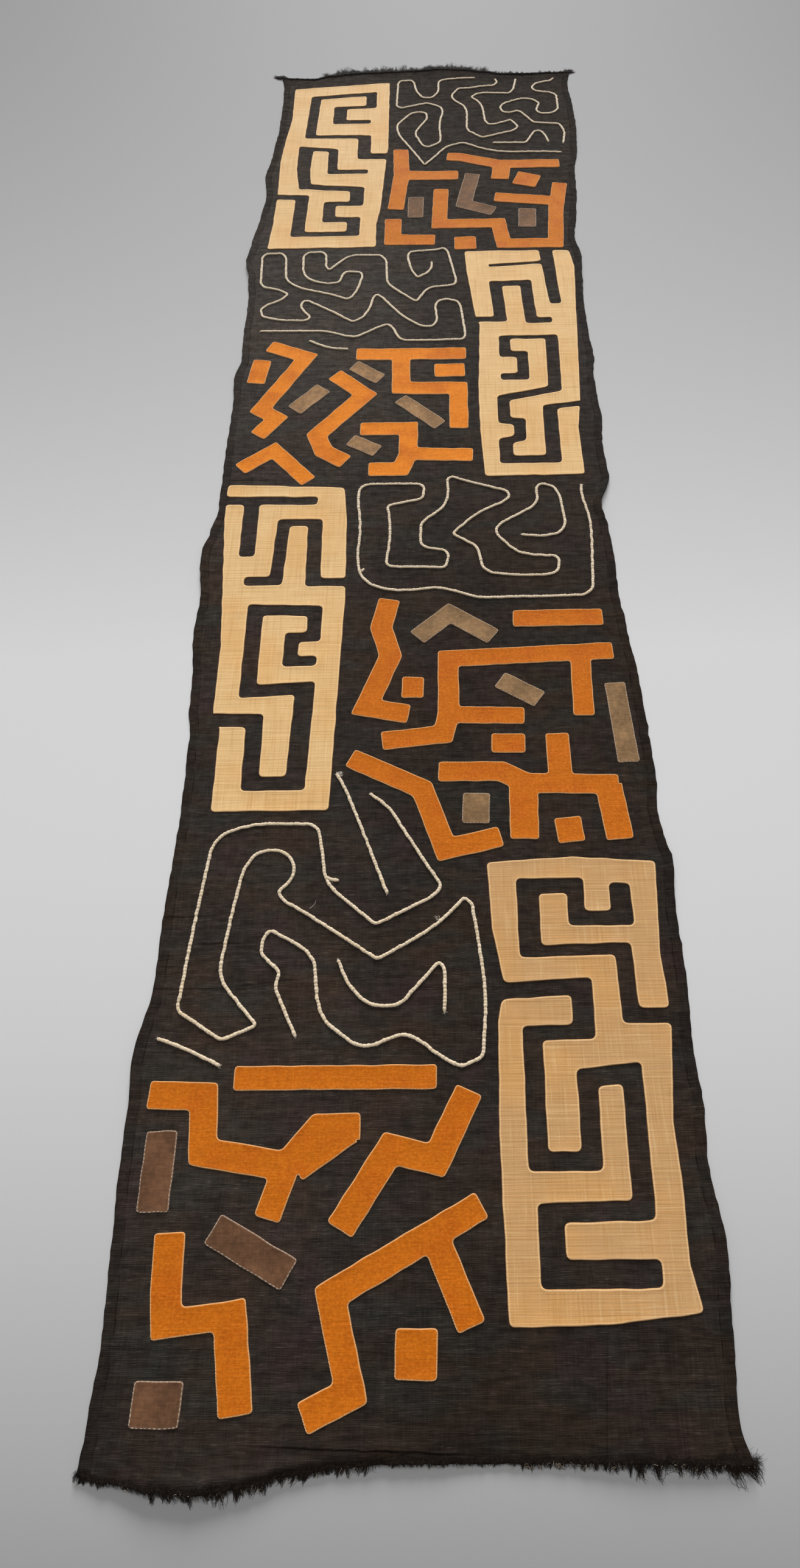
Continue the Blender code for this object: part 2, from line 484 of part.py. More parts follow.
def counter_clockwise(loop):
    return loop if signed_area(loop) > 0 else loop[::-1]


def outline_of(added, removed):
    """The edge loops of the added shapes joined together with the removed ones cut away."""
    shapes = [counter_clockwise(shape) for shape in added + removed]
    points = [point for shape in shapes for point in shape]
    faces, start = [], 0
    for shape in shapes:
        faces.append(list(range(start, start + len(shape))))
        start += len(shape)
    points, _, triangles, _, _, owners = delaunay_2d_cdt(points, [], faces, 0, SAME_PLACE)
    kept = []
    for triangle, owner in zip(triangles, owners):
        inside = any(index < len(added) for index in owner)
        cut = any(index >= len(added) for index in owner)
        if inside and not cut:
            kept.append(triangle)
    directed = {(a, b) for face in kept for a, b in zip(face, face[1:] + face[:1])}
    following = {a: b for a, b in directed if (b, a) not in directed}
    loops = []
    while following:
        first, at = next(iter(following.items()))
        loop = [points[first]]
        del following[first]
        while at != first:
            loop.append(points[at])
            at = following.pop(at)
        loops.append(loop)
    return loops


def softened(loop, radius):
    """The loop without needless points, and with two points in place of each sharp corner."""
    plain = []
    for index, point in enumerate(loop):
        before, after = loop[index - 1], loop[(index + 1) % len(loop)]
        if (point - before).length < SHORTEST_EDGE:
            continue
        if abs((point - before).normalized().cross((after - point).normalized())) > LEAST_TURN:
            plain.append(point)
    rounded = []
    for index, point in enumerate(plain):
        before, after = plain[index - 1], plain[(index + 1) % len(plain)]
        turn = (point - before).angle(after - point, 0.0)
        if turn < SHARPEST_KEPT:
            rounded.append(point)
            continue
        cut_in = min(radius, CORNER_SHARE * (point - before).length, CORNER_SHARE * (after - point).length)
        rounded.append(point + (before - point).normalized() * cut_in)
        rounded.append(point + (after - point).normalized() * cut_in)
    return rounded


def grid_lines(loops):
    """The ground's grid lines that cross the loops, as pairs of chart places."""
    us = [point.x for loop in loops for point in loop]
    vs = [point.y for loop in loops for point in loop]
    lines = []
    for u in ground_columns():
        if min(us) < u < max(us):
            lines.append((Vector((u, min(vs) - 1)), Vector((u, max(vs) + 1))))
    for v in ground_rows():
        if min(vs) < v < max(vs):
            lines.append((Vector((min(us) - 1, v)), Vector((max(us) + 1, v))))
    return lines


def patch_mesh(name, loops):
    """A flat cut of cloth with the given edge loops, laid over the ground's swells."""
    outers = [loop for loop in loops if signed_area(loop) > 0]
    holes = [loop[::-1] for loop in loops if signed_area(loop) < 0]
    points, faces, edges = [], [], []
    for loop in outers + holes:
        faces.append(list(range(len(points), len(points) + len(loop))))
        points += loop
    for start, end in grid_lines(loops):
        edges.append((len(points), len(points) + 1))
        points += [start, end]
    points, _, triangles, _, _, owners = delaunay_2d_cdt(points, edges, faces, 0, SAME_PLACE)
    kept = []
    for triangle, owner in zip(triangles, owners):
        if owner and all(index < len(outers) for index in owner):
            kept.append(triangle)
    cloth = bmesh.new()
    corners = {}
    for index in sorted({corner for triangle in kept for corner in triangle}):
        u, v = points[index]
        lift = floor_height(u, v) + GROUND_THICK + LAYER_GAP
        corners[index] = cloth.verts.new(on_chart(u, v, lift))
    for triangle in kept:
        cloth.faces.new([corners[index] for index in triangle])
    data = bpy.data.meshes.new(name)
    cloth.to_mesh(data)
    cloth.free()
    return data


def make_bars(name, bars, finish, collection):
    quads = [quad for bar in bars for quad in bar_quads(bar.route, [bar.width] * (len(bar.route) - 1))]
    loops = [softened(loop, CORNER_RADIUS) for loop in outline_of(quads, [])]
    thicken(add_object(name, patch_mesh(name, loops), finish, collection), PATCH_THICK)


def make_fret(name, fret, finish, collection):
    panel = [Vector(place) for place in fret.outline]
    slots = [quad for slot in fret.slots for quad in bar_quads(slot.route, slot.widths)]
    loops = [softened(loop, CORNER_RADIUS) for loop in outline_of([panel], slots)]
    thicken(add_object(name, patch_mesh(name, loops), finish, collection), PATCH_THICK)


def make_cord_profile(guides):
    """The cord's cross-section, which each cord's line carries along."""
    profile = bpy.data.curves.new("cord_section", "CURVE")
    profile.dimensions = "2D"
    section = profile.splines.new("POLY")
    base, crown = CORD_BASE / 2, CORD_CROWN / 2
    corners = [(-base, 0), (-crown, CORD_HEIGHT), (crown, CORD_HEIGHT), (base, 0)]
    section.points.add(len(corners) - 1)
    for point, (across, up) in zip(section.points, corners):
        point.co = (across, up, 0, 1)
    section.use_cyclic_u = True
    made = bpy.data.objects.new("cord_section", profile)
    guides.objects.link(made)
    made.hide_render = True
    made.display_type = "WIRE"
    return made


def make_cord(name, route, profile, finish, collection):
    line = bpy.data.curves.new(name, "CURVE")
    line.dimensions = "3D"
    line.twist_mode = "Z_UP"
    line.bevel_mode = "OBJECT"
    line.bevel_object = profile
    line.use_fill_caps = True
    places = [Vector(route[0])]
    for end in map(Vector, route[1:]):
        start = places[-1]
        steps = max(1, math.ceil((end - start).length / CORD_STEP))
        places += [start.lerp(end, step / steps) for step in range(1, steps + 1)]
    spline = line.splines.new("POLY")
    spline.points.add(len(places) - 1)
    for point, (u, v) in zip(spline.points, places):
        lift = floor_height(u, v) + GROUND_THICK + LAYER_GAP
        point.co = (*on_chart(u, v, lift), 1)
    add_object(name, line, finish, collection)


def cut_end(row):
    """The ground's cut end along one row of its grid, as a function from chart u to chart v."""
    columns, _ = grid_size()
    line = [ground_place(column, row) for column in range(columns)]

    def edge(u):
        for (start, start_v), (end, end_v) in zip(line, line[1:]):
            if u <= end:
                return start_v + (end_v - start_v) * (u - start) / (end - start)
        return line[-1][1]

    return edge, line[0][0], line[-1][0]


def make_fringe(name, row, outward, finish, collection):
    """A narrow strip along one cut end, with the frayed strands that stand out from it, flat on the floor."""
    edge, first_u, last_u = cut_end(row)
    chance = random.Random(STRAND_SEED + outward)
    columns, _ = grid_size()
    seams = {ground_place(column, row)[0] for column in range(1, columns - 1)}
    count = round((last_u - first_u) / STRAND_PITCH)
    inner_side, outer_side = [], []
    for index in range(count + 1):
        u = first_u + (last_u - first_u) * index / count
        root = edge(u) + outward * STRIP_DEPTH
        length = STRAND_SHORTEST + (STRAND_LONGEST - STRAND_SHORTEST) * chance.random() ** MOSTLY_SHORT
        lean = chance.uniform(-STRAND_LEAN, STRAND_LEAN)
        if index in (0, count):
            length, lean = STRAND_LONGEST, CORNER_LEAN if index else -CORNER_LEAN
        half = STRAND_WIDTH / 2
        tip = Vector((u + lean, root + outward * length))
        outer_side += [Vector((u - half, root)), tip, Vector((u + half, root))]
    for u in [first_u - STRAND_WIDTH / 2, *sorted(seams), last_u + STRAND_WIDTH / 2]:
        inner_side.append(Vector((u, edge(max(u, first_u)) + outward * STRIP_GAP)))
    loop = counter_clockwise(inner_side + outer_side[::-1])
    points, _, triangles, _, _, owners = delaunay_2d_cdt(loop, [], [list(range(len(loop)))], 0, SAME_PLACE)
    comb = bmesh.new()
    corners = [comb.verts.new(on_chart(u, v)) for u, v in points]
    for triangle, owner in zip(triangles, owners):
        if owner:
            comb.faces.new([corners[index] for index in triangle])
    data = bpy.data.meshes.new(name)
    comb.to_mesh(data)
    comb.free()
    thicken(add_object(name, data, finish, collection), STRIP_THICK)


def build():
    for leftover in list(bpy.data.objects):
        bpy.data.objects.remove(leftover, do_unlink=True)
    cloth = new_collection("kuba_cloth")
    guides = new_collection("guides")
    finishes = {name: new_finish(name) for name in FINISHES}
    make_ground(finishes["ground_raffia"], cloth)
    for name, fret in NATURAL_FRETS.items():
        make_fret(name, fret, finishes["natural_raffia"], cloth)
    for name, bars in ORANGE_BARS.items():
        make_bars(name, bars, finishes["orange_raffia"], cloth)
    for name, bars in BROWN_BARS.items():
        make_bars(name, bars, finishes["brown_raffia"], cloth)
    profile = make_cord_profile(guides)
    for name, route in CORDS.items():
        make_cord(name, route, profile, finishes["cream_cord"], cloth)
    make_fringe("fringe_near", 0, -1, finishes["frayed_raffia"], cloth)
    make_fringe("fringe_far", grid_size()[1] - 1, 1, finishes["frayed_raffia"], cloth)


build()
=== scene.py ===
"""A kuba raffia cloth on a pale floor: dark ground, sewn-on frets and bars, couched cords, frayed ends."""
import math
from collections import namedtuple

import bpy
import numpy as np
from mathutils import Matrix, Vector
from mathutils.geometry import delaunay_2d_cdt


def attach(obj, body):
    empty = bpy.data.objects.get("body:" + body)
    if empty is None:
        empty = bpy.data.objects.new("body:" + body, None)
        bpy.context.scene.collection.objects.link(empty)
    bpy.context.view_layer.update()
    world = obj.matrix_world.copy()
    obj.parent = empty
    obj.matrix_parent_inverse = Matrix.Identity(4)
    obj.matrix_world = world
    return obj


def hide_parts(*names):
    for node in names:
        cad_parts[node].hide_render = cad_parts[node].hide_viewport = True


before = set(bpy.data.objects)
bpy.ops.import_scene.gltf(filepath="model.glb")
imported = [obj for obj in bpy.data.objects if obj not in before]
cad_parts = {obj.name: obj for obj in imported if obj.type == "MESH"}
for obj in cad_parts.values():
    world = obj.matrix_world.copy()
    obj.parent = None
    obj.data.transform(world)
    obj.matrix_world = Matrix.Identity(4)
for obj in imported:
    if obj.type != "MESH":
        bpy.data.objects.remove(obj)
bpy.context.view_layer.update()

# The ground: one long cloth of dark-dyed raffia, woven plain from flat split strips, about 0.70 by 2.9 m.
# Its sides are folded over and sewn down as narrow hems, and its ends are left raw. It lies almost flat, with
# low swells, side edges that lift here and there, and a shallow pleat along the near end.
CM = 0.01
MM = 0.001

# It is drawn on a chart in centimetres: u from the left edge to the right, v from the near end to the far end.
CENTRE_U, CENTRE_V, CHART_LENGTH = 35.0, 143.0, 288
GROUND_THICK, FLOOR_GAP = 1.2 * MM, 0.05 * MM

# Outline of the ground at its sides: chart v, then u of the left edge and of the right edge
Side = namedtuple("Side", "v left right")
SIDES = [
    Side(-2, -0.5, 70.3), Side(4, -0.1, 69.3), Side(12, 0.2, 69.8), Side(21, -0.2, 70.4),
    Side(30, -0.6, 69.5), Side(37, -0.6, 69.9), Side(44, -0.9, 69.5), Side(53, 0.4, 69.8),
    Side(64, 0.3, 69.6), Side(71, 0.5, 70.0), Side(75, 0.6, 69.2), Side(79, 0.7, 68.8),
    Side(84, 0.6, 69.2), Side(93, 0.4, 69.0), Side(98, -0.2, 68.7), Side(103, -0.4, 68.5),
    Side(113, -1.3, 67.6), Side(120, -1.0, 67.0), Side(128, -1.8, 67.0), Side(131, -1.8, 66.8),
    Side(134, -1.0, 66.6), Side(140, -0.2, 65.8), Side(147, -0.3, 67.7), Side(156, -0.4, 67.3),
    Side(163, -0.3, 67.8), Side(168, -0.3, 67.4), Side(175, -0.7, 67.2), Side(180, 0.2, 67.7),
    Side(187, -0.2, 67.2), Side(198, -0.2, 67.0), Side(206, -0.8, 67.3), Side(212, -1.8, 67.6),
    Side(219, -1.2, 66.7), Side(229, -0.2, 67.7), Side(236, 0.4, 68.3), Side(244, -0.4, 68.4),
    Side(254, 0.6, 69.6), Side(264, 1.3, 70.0), Side(273, 1.3, 69.8), Side(282, 1.0, 69.3),
    Side(290, -0.1, 70.1),
]
# Outline of the ground at its ends: chart u, then v of the near edge and of the far edge
End = namedtuple("End", "u near far")
ENDS = [
    End(-1, -0.6, 288.1), End(3, -1.4, 287.4), End(8, -2.2, 287.0), End(12, -2.5, 288.4),
    End(17, -1.9, 289.3), End(22, -0.8, 289.8), End(27, -0.2, 290.0), End(32, 0.1, 290.3),
    End(38, 0.1, 291.0), End(44, 0.1, 290.6), End(49, 0.1, 289.4), End(54, 0.0, 288.2),
    End(60, -0.1, 288.1), End(66, -0.2, 288.4), End(71, -0.3, 288.6),
]
# Low swells where the ground does not lie hard on the floor: centre and half-lengths in cm, height in mm
Swell = namedtuple("Swell", "u v across along height")
SWELLS = [
    Swell(15, 32, 22, 27, 1.6), Swell(55, 64, 22, 28, 1.5), Swell(13, 98, 20, 28, 1.6),
    Swell(13, 184, 20, 28, 1.6), Swell(54, 204, 22, 28, 1.5), Swell(17, 244, 22, 28, 1.6),
    Swell(55, 262, 21, 24, 1.5),
]
# Places where a side edge curls up: side, middle and half-length in cm, height in mm
Curl = namedtuple("Curl", "side v half height")
CURLS = [
    Curl("left", 44, 15, 4.0), Curl("left", 128, 16, 5.0), Curl("left", 176, 12, 3.0),
    Curl("left", 212, 15, 4.5), Curl("right", 22, 16, 3.5), Curl("right", 70, 12, 3.0),
    Curl("right", 141, 14, 4.5), Curl("right", 211, 12, 3.5), Curl("left", 266, 14, 3.5),
    Curl("right", 262, 16, 3.5),
]
CURL_REACH = 2.0
PLEAT_U, PLEAT_HALF, PLEAT_INSET, PLEAT_REACH, PLEAT_HEIGHT = 21.0, 19.0, 1.0, 1.0, 3.0

# The near end springs up from the floor a little, most at its left billow and its right corner
Spring = namedtuple("Spring", "u half height")
NEAR_SPRINGS = [Spring(11, 16, 9.0), Spring(32, 20, 4.0), Spring(61, 20, 6.5)]
SPRING_REACH = 5.5

# Grid lines at an edge, in cm from it: close together where the hem is folded and where the pleat lies
HEM_LINES = (0, 0.05, 0.14, 0.32, 0.65, 1.0, 1.22, 1.34, 1.46, 1.8)
END_LINES = (0, 0.15, 0.35, 0.6, 0.85, 1.0, 1.15, 1.4, 1.7, 2.1, 2.6, 3.2)
INNER_COLUMNS, INNER_ROWS = 84, 360
# The hem's width and its step down in cm; its extra height, and how far its fold rolls under, in mm
HEM_WIDTH, HEM_STEP, HEM_ROUND = 1.28, 0.12, 0.14
HEM_EXTRA, HEM_ROLL = 0.8, 0.5

# Slack of the ground in mm: its mean, then its long and its short cockles
SLACK, LONG_COCKLES, SHORT_COCKLES = 0.45, 0.30, 0.12
# Waver of the side edges and of the ends in cm
SIDE_WAVER, END_WAVER = 0.07, 0.06
# Waves in one pattern of cockles, and what they add up to at most, about
COCKLE_WAVES, COCKLE_SUM = 9, 3.5


def column(rows, name):
    return np.array([getattr(row, name) for row in rows], float)


def eased(rows, key, value, at):
    """A table's column at places between its rows, eased from row to row."""
    places, values = column(rows, key), column(rows, value)
    at = np.clip(at, places[0], places[-1])
    row = np.clip(np.searchsorted(places, at, side="right") - 1, 0, len(places) - 2)
    share = (at - places[row]) / (places[row + 1] - places[row])
    share = share * share * (3 - 2 * share)
    return values[row] * (1 - share) + values[row + 1] * share


def cockles(u, v, wavelength, seed):
    """Smooth unevenness, about -1 to 1: seeded waves of much the same length that run every way."""
    chance = np.random.default_rng(seed)
    total = 0.0
    for _ in range(COCKLE_WAVES):
        way, shift = chance.uniform(0, 2 * math.pi, 2)
        length = wavelength * chance.uniform(0.7, 1.4)
        total = total + np.sin(2 * math.pi * (u * math.cos(way) + v * math.sin(way)) / length + shift)
    return total / COCKLE_SUM


def left_edge(v):
    return eased(SIDES, "v", "left", v) + SIDE_WAVER * cockles(0 * v, v, 2.6, 21)


def right_edge(v):
    return eased(SIDES, "v", "right", v) + SIDE_WAVER * cockles(0 * v, v, 2.4, 22)


def near_edge(u):
    return eased(ENDS, "u", "near", u) + END_WAVER * cockles(u, 0 * u, 1.1, 23)


def far_edge(u):
    return eased(ENDS, "u", "far", u) + END_WAVER * cockles(u, 0 * u, 1.1, 24)


def dome(share):
    """A low mound's height at a share of its half-length: 1 at the middle, 0 from 1 on."""
    return 0.5 + 0.5 * np.cos(math.pi * np.minimum(1.0, np.abs(share)))


def floor_height(u, v):
    """Height in metres of the ground's underside over the floor."""
    rise = 0.0
    for swell in SWELLS:
        rise = rise + swell.height * dome(np.hypot((u - swell.u) / swell.across, (v - swell.v) / swell.along))
    for curl in CURLS:
        inside = u - left_edge(v) if curl.side == "left" else right_edge(v) - u
        reach = np.maximum(0.0, 1.0 - inside / CURL_REACH)
        rise = rise + curl.height * dome((v - curl.v) / curl.half) * reach ** 2
    from_end = v - near_edge(u) - PLEAT_INSET
    rise = rise + PLEAT_HEIGHT * dome(from_end / PLEAT_REACH) * dome((u - PLEAT_U) / PLEAT_HALF)
    reach = np.maximum(0.0, 1.0 - np.maximum(0.0, v - near_edge(u)) / SPRING_REACH)
    for spring in NEAR_SPRINGS:
        rise = rise + spring.height * dome((u - spring.u) / spring.half) * reach ** 2
    return rise * MM


def ground_top(u, v):
    """Height in metres of the ground's upper face: its lie, its thickness and its slack."""
    slack = SLACK + LONG_COCKLES * cockles(u, v, 8.0, 3) + SHORT_COCKLES * cockles(u, v, 2.6, 4)
    return floor_height(u, v) + GROUND_THICK + np.maximum(0.0, slack) * MM


def on_chart(u, v, z):
    """Chart places and heights in metres as points of the model."""
    return np.stack([(u - CENTRE_U) * CM, (v - CENTRE_V) * CM, z + 0 * u], axis=-1)


def new_piece(name, points, faces, finish):
    """A smooth mesh piece of the cloth."""
    mesh = bpy.data.meshes.new(name)
    faces = faces.tolist() if isinstance(faces, np.ndarray) else faces
    mesh.from_pydata(points.reshape(-1, 3).tolist(), [], faces)
    mesh.polygons.foreach_set("use_smooth", [True] * len(mesh.polygons))
    mesh.materials.append(finish)
    piece = bpy.data.objects.new(name, mesh)
    bpy.context.scene.collection.objects.link(piece)
    return piece


def dressed(piece, node=None):
    """The piece, which rides with the cloth, and stands in place of one solid if a node is named."""
    if node:
        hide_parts(node)
    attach(piece, "root")
    return piece


def grid_faces(rows, columns):
    """Four-cornered faces of a grid of points, row by row."""
    corner = (np.arange(rows - 1)[:, None] * columns + np.arange(columns - 1)).ravel()
    return np.stack([corner, corner + 1, corner + columns + 1, corner + columns], axis=1)


def ground_grid():
    """Chart places of the ground's grid, whose outer lines follow the cloth's own edges."""
    hem, ends = np.array(HEM_LINES), np.array(END_LINES)
    share_u = np.linspace(0, 1, INNER_COLUMNS + 2)[1:-1]
    share_v = np.linspace(0, 1, INNER_ROWS + 2)[1:-1]
    v = np.concatenate([ends, ends[-1] + share_v * (CHART_LENGTH - 2 * ends[-1]),
                        CHART_LENGTH - ends[::-1]])[:, None]
    v = v + np.zeros((1, 2 * len(hem) + INNER_COLUMNS))
    for _ in range(3):
        left, right = left_edge(v[:, :1]), right_edge(v[:, :1])
        inner = left + hem[-1] + share_u * (right - left - 2 * hem[-1])
        u = np.hstack([left_edge(v[:, :len(hem)]) + hem, inner, right_edge(v[:, -len(hem):]) - hem[::-1]])
        near, far = near_edge(u), far_edge(u)
        start, span = near + ends[-1], far - near - 2 * ends[-1]
        middle = slice(len(ends), -len(ends))
        v = np.vstack([near[:len(ends)] + ends[:, None], start[middle] + share_v[:, None] * span[middle],
                       far[-len(ends):] - ends[::-1, None]])
    return u, v


def hem_rise(inside):
    """Extra height in metres of the folded hem at a distance in cm from the side edge, rounded at the fold."""
    fold = np.sqrt(np.clip(1 - (1 - np.clip(inside / HEM_ROUND, 0, 1)) ** 2, 0, 1))
    step = np.clip((HEM_WIDTH + 0.1 - inside) / HEM_STEP, 0, 1)
    return (HEM_EXTRA * fold * step - HEM_ROLL * (1 - fold)) * MM


def tuned(hex_colour):
    """A colour given as a web code, as the shader's own light values."""
    parts = [int(hex_colour[i:i + 2], 16) / 255 for i in (0, 2, 4)]
    light = [part / 12.92 if part <= 0.04045 else ((part + 0.055) / 1.055) ** 2.4 for part in parts]
    return (*light, 1.0)


class Tone:
    """A value or colour of one finish. Sums on it add Math nodes."""

    def __init__(self, tree, socket=None):
        self.tree = tree
        self.socket = socket

    def node(self, kind, settings=None, sockets=None, output=0):
        """Adds a node: its settings first, then the values or links of its sockets."""
        made = self.tree.nodes.new(kind)
        for name, value in (settings or {}).items():
            setattr(made, name, value)
        for name, value in (sockets or {}).items():
            if isinstance(value, Tone):
                self.tree.links.new(value.socket, made.inputs[name])
            else:
                made.inputs[name].default_value = value
        return Tone(self.tree, made.outputs[output])

    def sum(self, operation, first, second):
        return self.node("ShaderNodeMath", {"operation": operation}, {0: first, 1: second})

    def __add__(self, other):
        return self.sum("ADD", self, other)

    def __radd__(self, other):
        return self.sum("ADD", other, self)

    def __sub__(self, other):
        return self.sum("SUBTRACT", self, other)

    def __rsub__(self, other):
        return self.sum("SUBTRACT", other, self)

    def __mul__(self, other):
        return self.sum("MULTIPLY", self, other)

    def __rmul__(self, other):
        return self.sum("MULTIPLY", other, self)

    def __abs__(self):
        return self.sum("ABSOLUTE", self, 0.0)


def new_finish(name, roughness, sheen):
    """An empty raffia finish: the material, its shader and the first tone, the place on the cloth in metres."""
    finish = bpy.data.materials.new(name)
    finish.use_nodes = True
    shader = finish.node_tree.nodes["Principled BSDF"]
    shader.inputs["Roughness"].default_value = roughness
    shader.inputs["Sheen Weight"].default_value = sheen
    shader.inputs["Sheen Roughness"].default_value = 0.5
    shader.inputs["Specular IOR Level"].default_value = 0.1
    place = Tone(finish.node_tree).node("ShaderNodeTexCoord", output="Object")
    return finish, shader, place


def feed(tone, shader, socket):
    tone.tree.links.new(tone.socket, shader.inputs[socket])


def strips(place, across, along, seed, detail=2.0):
    """Noise with its own turns per metre across and along the cloth: stretched, it is woven strips."""
    stretched = place.node("ShaderNodeVectorMath", {"operation": "MULTIPLY_ADD"},
                           {0: place, 1: (across, along, 0.0), 2: (seed * 7.31, seed * 3.17, seed * 1.93)})
    return stretched.node("ShaderNodeTexNoise", {}, {"Vector": stretched, "Scale": 1.0, "Detail": detail})


def rising(tone, low, high):
    """0 below low, 1 above high, and smooth between."""
    return tone.node("ShaderNodeMapRange", {"interpolation_type": "SMOOTHSTEP"},
                     {"Value": tone, "From Min": low, "From Max": high})


def blended(share, low, high):
    """A colour between two others."""
    return share.node("ShaderNodeMix", {"data_type": "RGBA"}, {0: share, 6: low, 7: high}, 2)


def scaled(colour, amount):
    """A colour made lighter or darker."""
    colour = colour[:3] if isinstance(colour, tuple) else colour
    return amount.node("ShaderNodeVectorMath", {"operation": "SCALE"}, {0: colour, "Scale": amount})


def raised(height, distance):
    """A relief of so many metres for the shader's normal."""
    return height.node("ShaderNodeBump", {},
                       {"Strength": 1.0, "Distance": distance, "Height": height})


def apart(place):
    """The place's distance across and along the cloth, in metres."""
    split = place.node("ShaderNodeSeparateXYZ", {}, {0: place})
    return split, Tone(place.tree, split.socket.node.outputs[1])


# Flattened creases across the ground, shown only by lines of painted shade: middle and half-length in cm, and
# slope
Crease = namedtuple("Crease", "u v half slope")
CREASES = [Crease(2.5, 63.4, 6.5, 0.0), Crease(5.0, 53.1, 7.0, 0.0), Crease(15.0, 53.8, 8.0, 0.11),
           Crease(9.0, 59.4, 6.0, 0.02), Crease(60.0, 76.4, 9.0, 0.01), Crease(7.0, 147.6, 8.0, 0.0)]
# The crease along the near end and the seam of the joined strip: where each crosses an axis, in metres, and slope
NEAR_CREASE_AT, NEAR_CREASE_SLOPE = -1.4203, 0.0416
JOINED_AT, JOINED_SLOPE = 0.3194, 0.084
CREASE_WANDER = 0.004


def near_line(distance, sharp, soft):
    """1 on a line and 0 away from it, from the distance to it."""
    return 1 - rising(abs(distance), sharp, soft)


def ground_finish():
    finish, shader, place = new_finish("ground_raffia", 0.95, 0.0)
    shader.inputs["Specular IOR Level"].default_value = 0.0
    across, along = apart(place)
    from_side, from_end = apart(place.node("ShaderNodeAttribute", {"attribute_name": "lie"}, {}, "Vector"))

    # The weave: weft strips, bands of them, warp strips, the grain of each strip, and patches of looser weave
    weft = rising(strips(place, 42, 780, 1, 3.0), 0.38, 0.64)
    band = rising(strips(place, 13, 190, 2, 3.0), 0.36, 0.66)
    warp = rising(strips(place, 640, 30, 3), 0.40, 0.64)
    grain = strips(place, 300, 1300, 4)
    patch = rising(strips(place, 60, 95, 12, 3.0), 0.36, 0.66)

    # The dye: near black, with browner, greyer and redder places, a greyer tone towards the far end, and a few
    # pale strips
    near_black, browner, greyer, redder = (tuned(code) for code in ("27221f", "2e251f", "272724", "2f2524"))
    far_grey, pale = tuned("2b2927"), tuned("554b42")
    base = blended(rising(strips(place, 12, 9, 5, 3.0), 0.36, 0.66), near_black, browner)
    base = blended(rising(strips(place, 9, 22, 6, 3.0), 0.48, 0.66) * 0.6, base, greyer)
    base = blended(rising(strips(place, 16, 12, 7, 3.0), 0.52, 0.70) * 0.6, base, redder)
    base = blended(rising(along, -0.5, 0.5) * 0.6, base, far_grey)
    base = blended(rising(strips(place, 90, 640, 8, 3.0), 0.56, 0.74) * 0.26, base, pale)

    # The hem, painted shade in a dark line along its inner step, and painted shade at the edge where it turns
    # under
    hem = 1 - rising(from_side, 1.15, 1.30)
    fold = near_line(from_side - 1.33, 0.02, 0.13) * rising(strips(place, 30, 45, 9), 0.30, 0.60)
    turn = 1 - rising(from_side, 0.0, 0.16)

    # Painted shade: a dark line in the crease along the near end with painted shadow under it, and dark lines in
    # the flattened creases
    wander = strips(place, 30, 1, 10)
    crease_at = along - NEAR_CREASE_AT + NEAR_CREASE_SLOPE * across - CREASE_WANDER * wander
    crease = near_line(crease_at, 0.0002, 0.0020)
    crease = crease * rising(across, -0.21, -0.13) * (1 - rising(across, 0.02, 0.09))
    under = (1 - rising(crease_at, -0.0005, 0.0)) * rising(crease_at, -0.012, -0.002)
    under = under * rising(across, -0.18, -0.10) * (1 - rising(across, -0.02, 0.06))
    for line in CREASES:
        x, y = (line.u - CENTRE_U) * CM, (line.v - CENTRE_V) * CM
        off_line = along - (y - line.slope * x) - line.slope * across + CREASE_WANDER * wander
        within = 1 - rising(abs(across - x), 0.3 * line.half * CM, line.half * CM)
        crease = crease.sum("MAXIMUM", crease, near_line(off_line, 0.0002, 0.0024) * within * 0.6)

    # The strip joined on at the near right: its seam, its own pale streaks, and the loose weave of the cut ends
    joined = across - JOINED_AT - JOINED_SLOPE * along
    near_part = 1 - rising(along, -1.325, -1.300)
    strip = rising(joined, -0.0005, 0.0005) * near_part
    seam = near_line(joined, 0.0002, 0.0016) * near_part
    streaks = rising(strips(place, 300, 10, 11), 0.46, 0.66) * strip
    raw = (1 - rising(from_end, 0.3, 1.2)) * (0.5 + strips(place, 150, 150, 13))

    # Paler on the left, in the far half and in one worn part. Darker towards the near end and within a few cm of
    # both ends: painted shade for the light that falls off towards the near end and for soft fold shadows by the
    # ends
    worn = rising(along, 0.05, 0.35) * (1 - rising(along, 0.75, 0.95)) * (1 - rising(across, -0.05, 0.10))
    left = 1 - rising(across, -0.16, 0.06)
    near = 1 - rising(along, -1.36, -1.18)
    end = 1 - rising(from_end + 3.0 * wander, 2.5, 8.0)

    light = 0.46 + 0.30 * weft + 0.28 * band + 0.20 * warp + 0.30 * grain + 0.32 * patch
    light = light * (1 + 0.12 * worn) * (1 - 0.16 * near) * (1 + 0.22 * left)
    light = light * (1 + 0.24 * rising(along, -0.4, 0.1) + 0.30 * rising(along, 0.0, 0.6))
    light = light * (1 - 0.20 * hem + 0.04 * strip + 0.16 * streaks)
    light = light * (1 - 0.5 * fold) * (1 - 0.4 * turn) * (1 - 0.75 * crease) * (1 - 0.3 * under)
    light = light * (1 - 0.22 * end) * (1 - 0.32 * seam)
    light = light * (1 - (0.45 + 0.4 * rising(along, 0.0, 0.5)) * raw)
    feed(scaled(base, light), shader, "Base Color")
    feed(raised(0.5 * weft + 0.3 * band + 0.3 * warp + 0.3 * grain, 0.0004), shader, "Normal")
    return finish


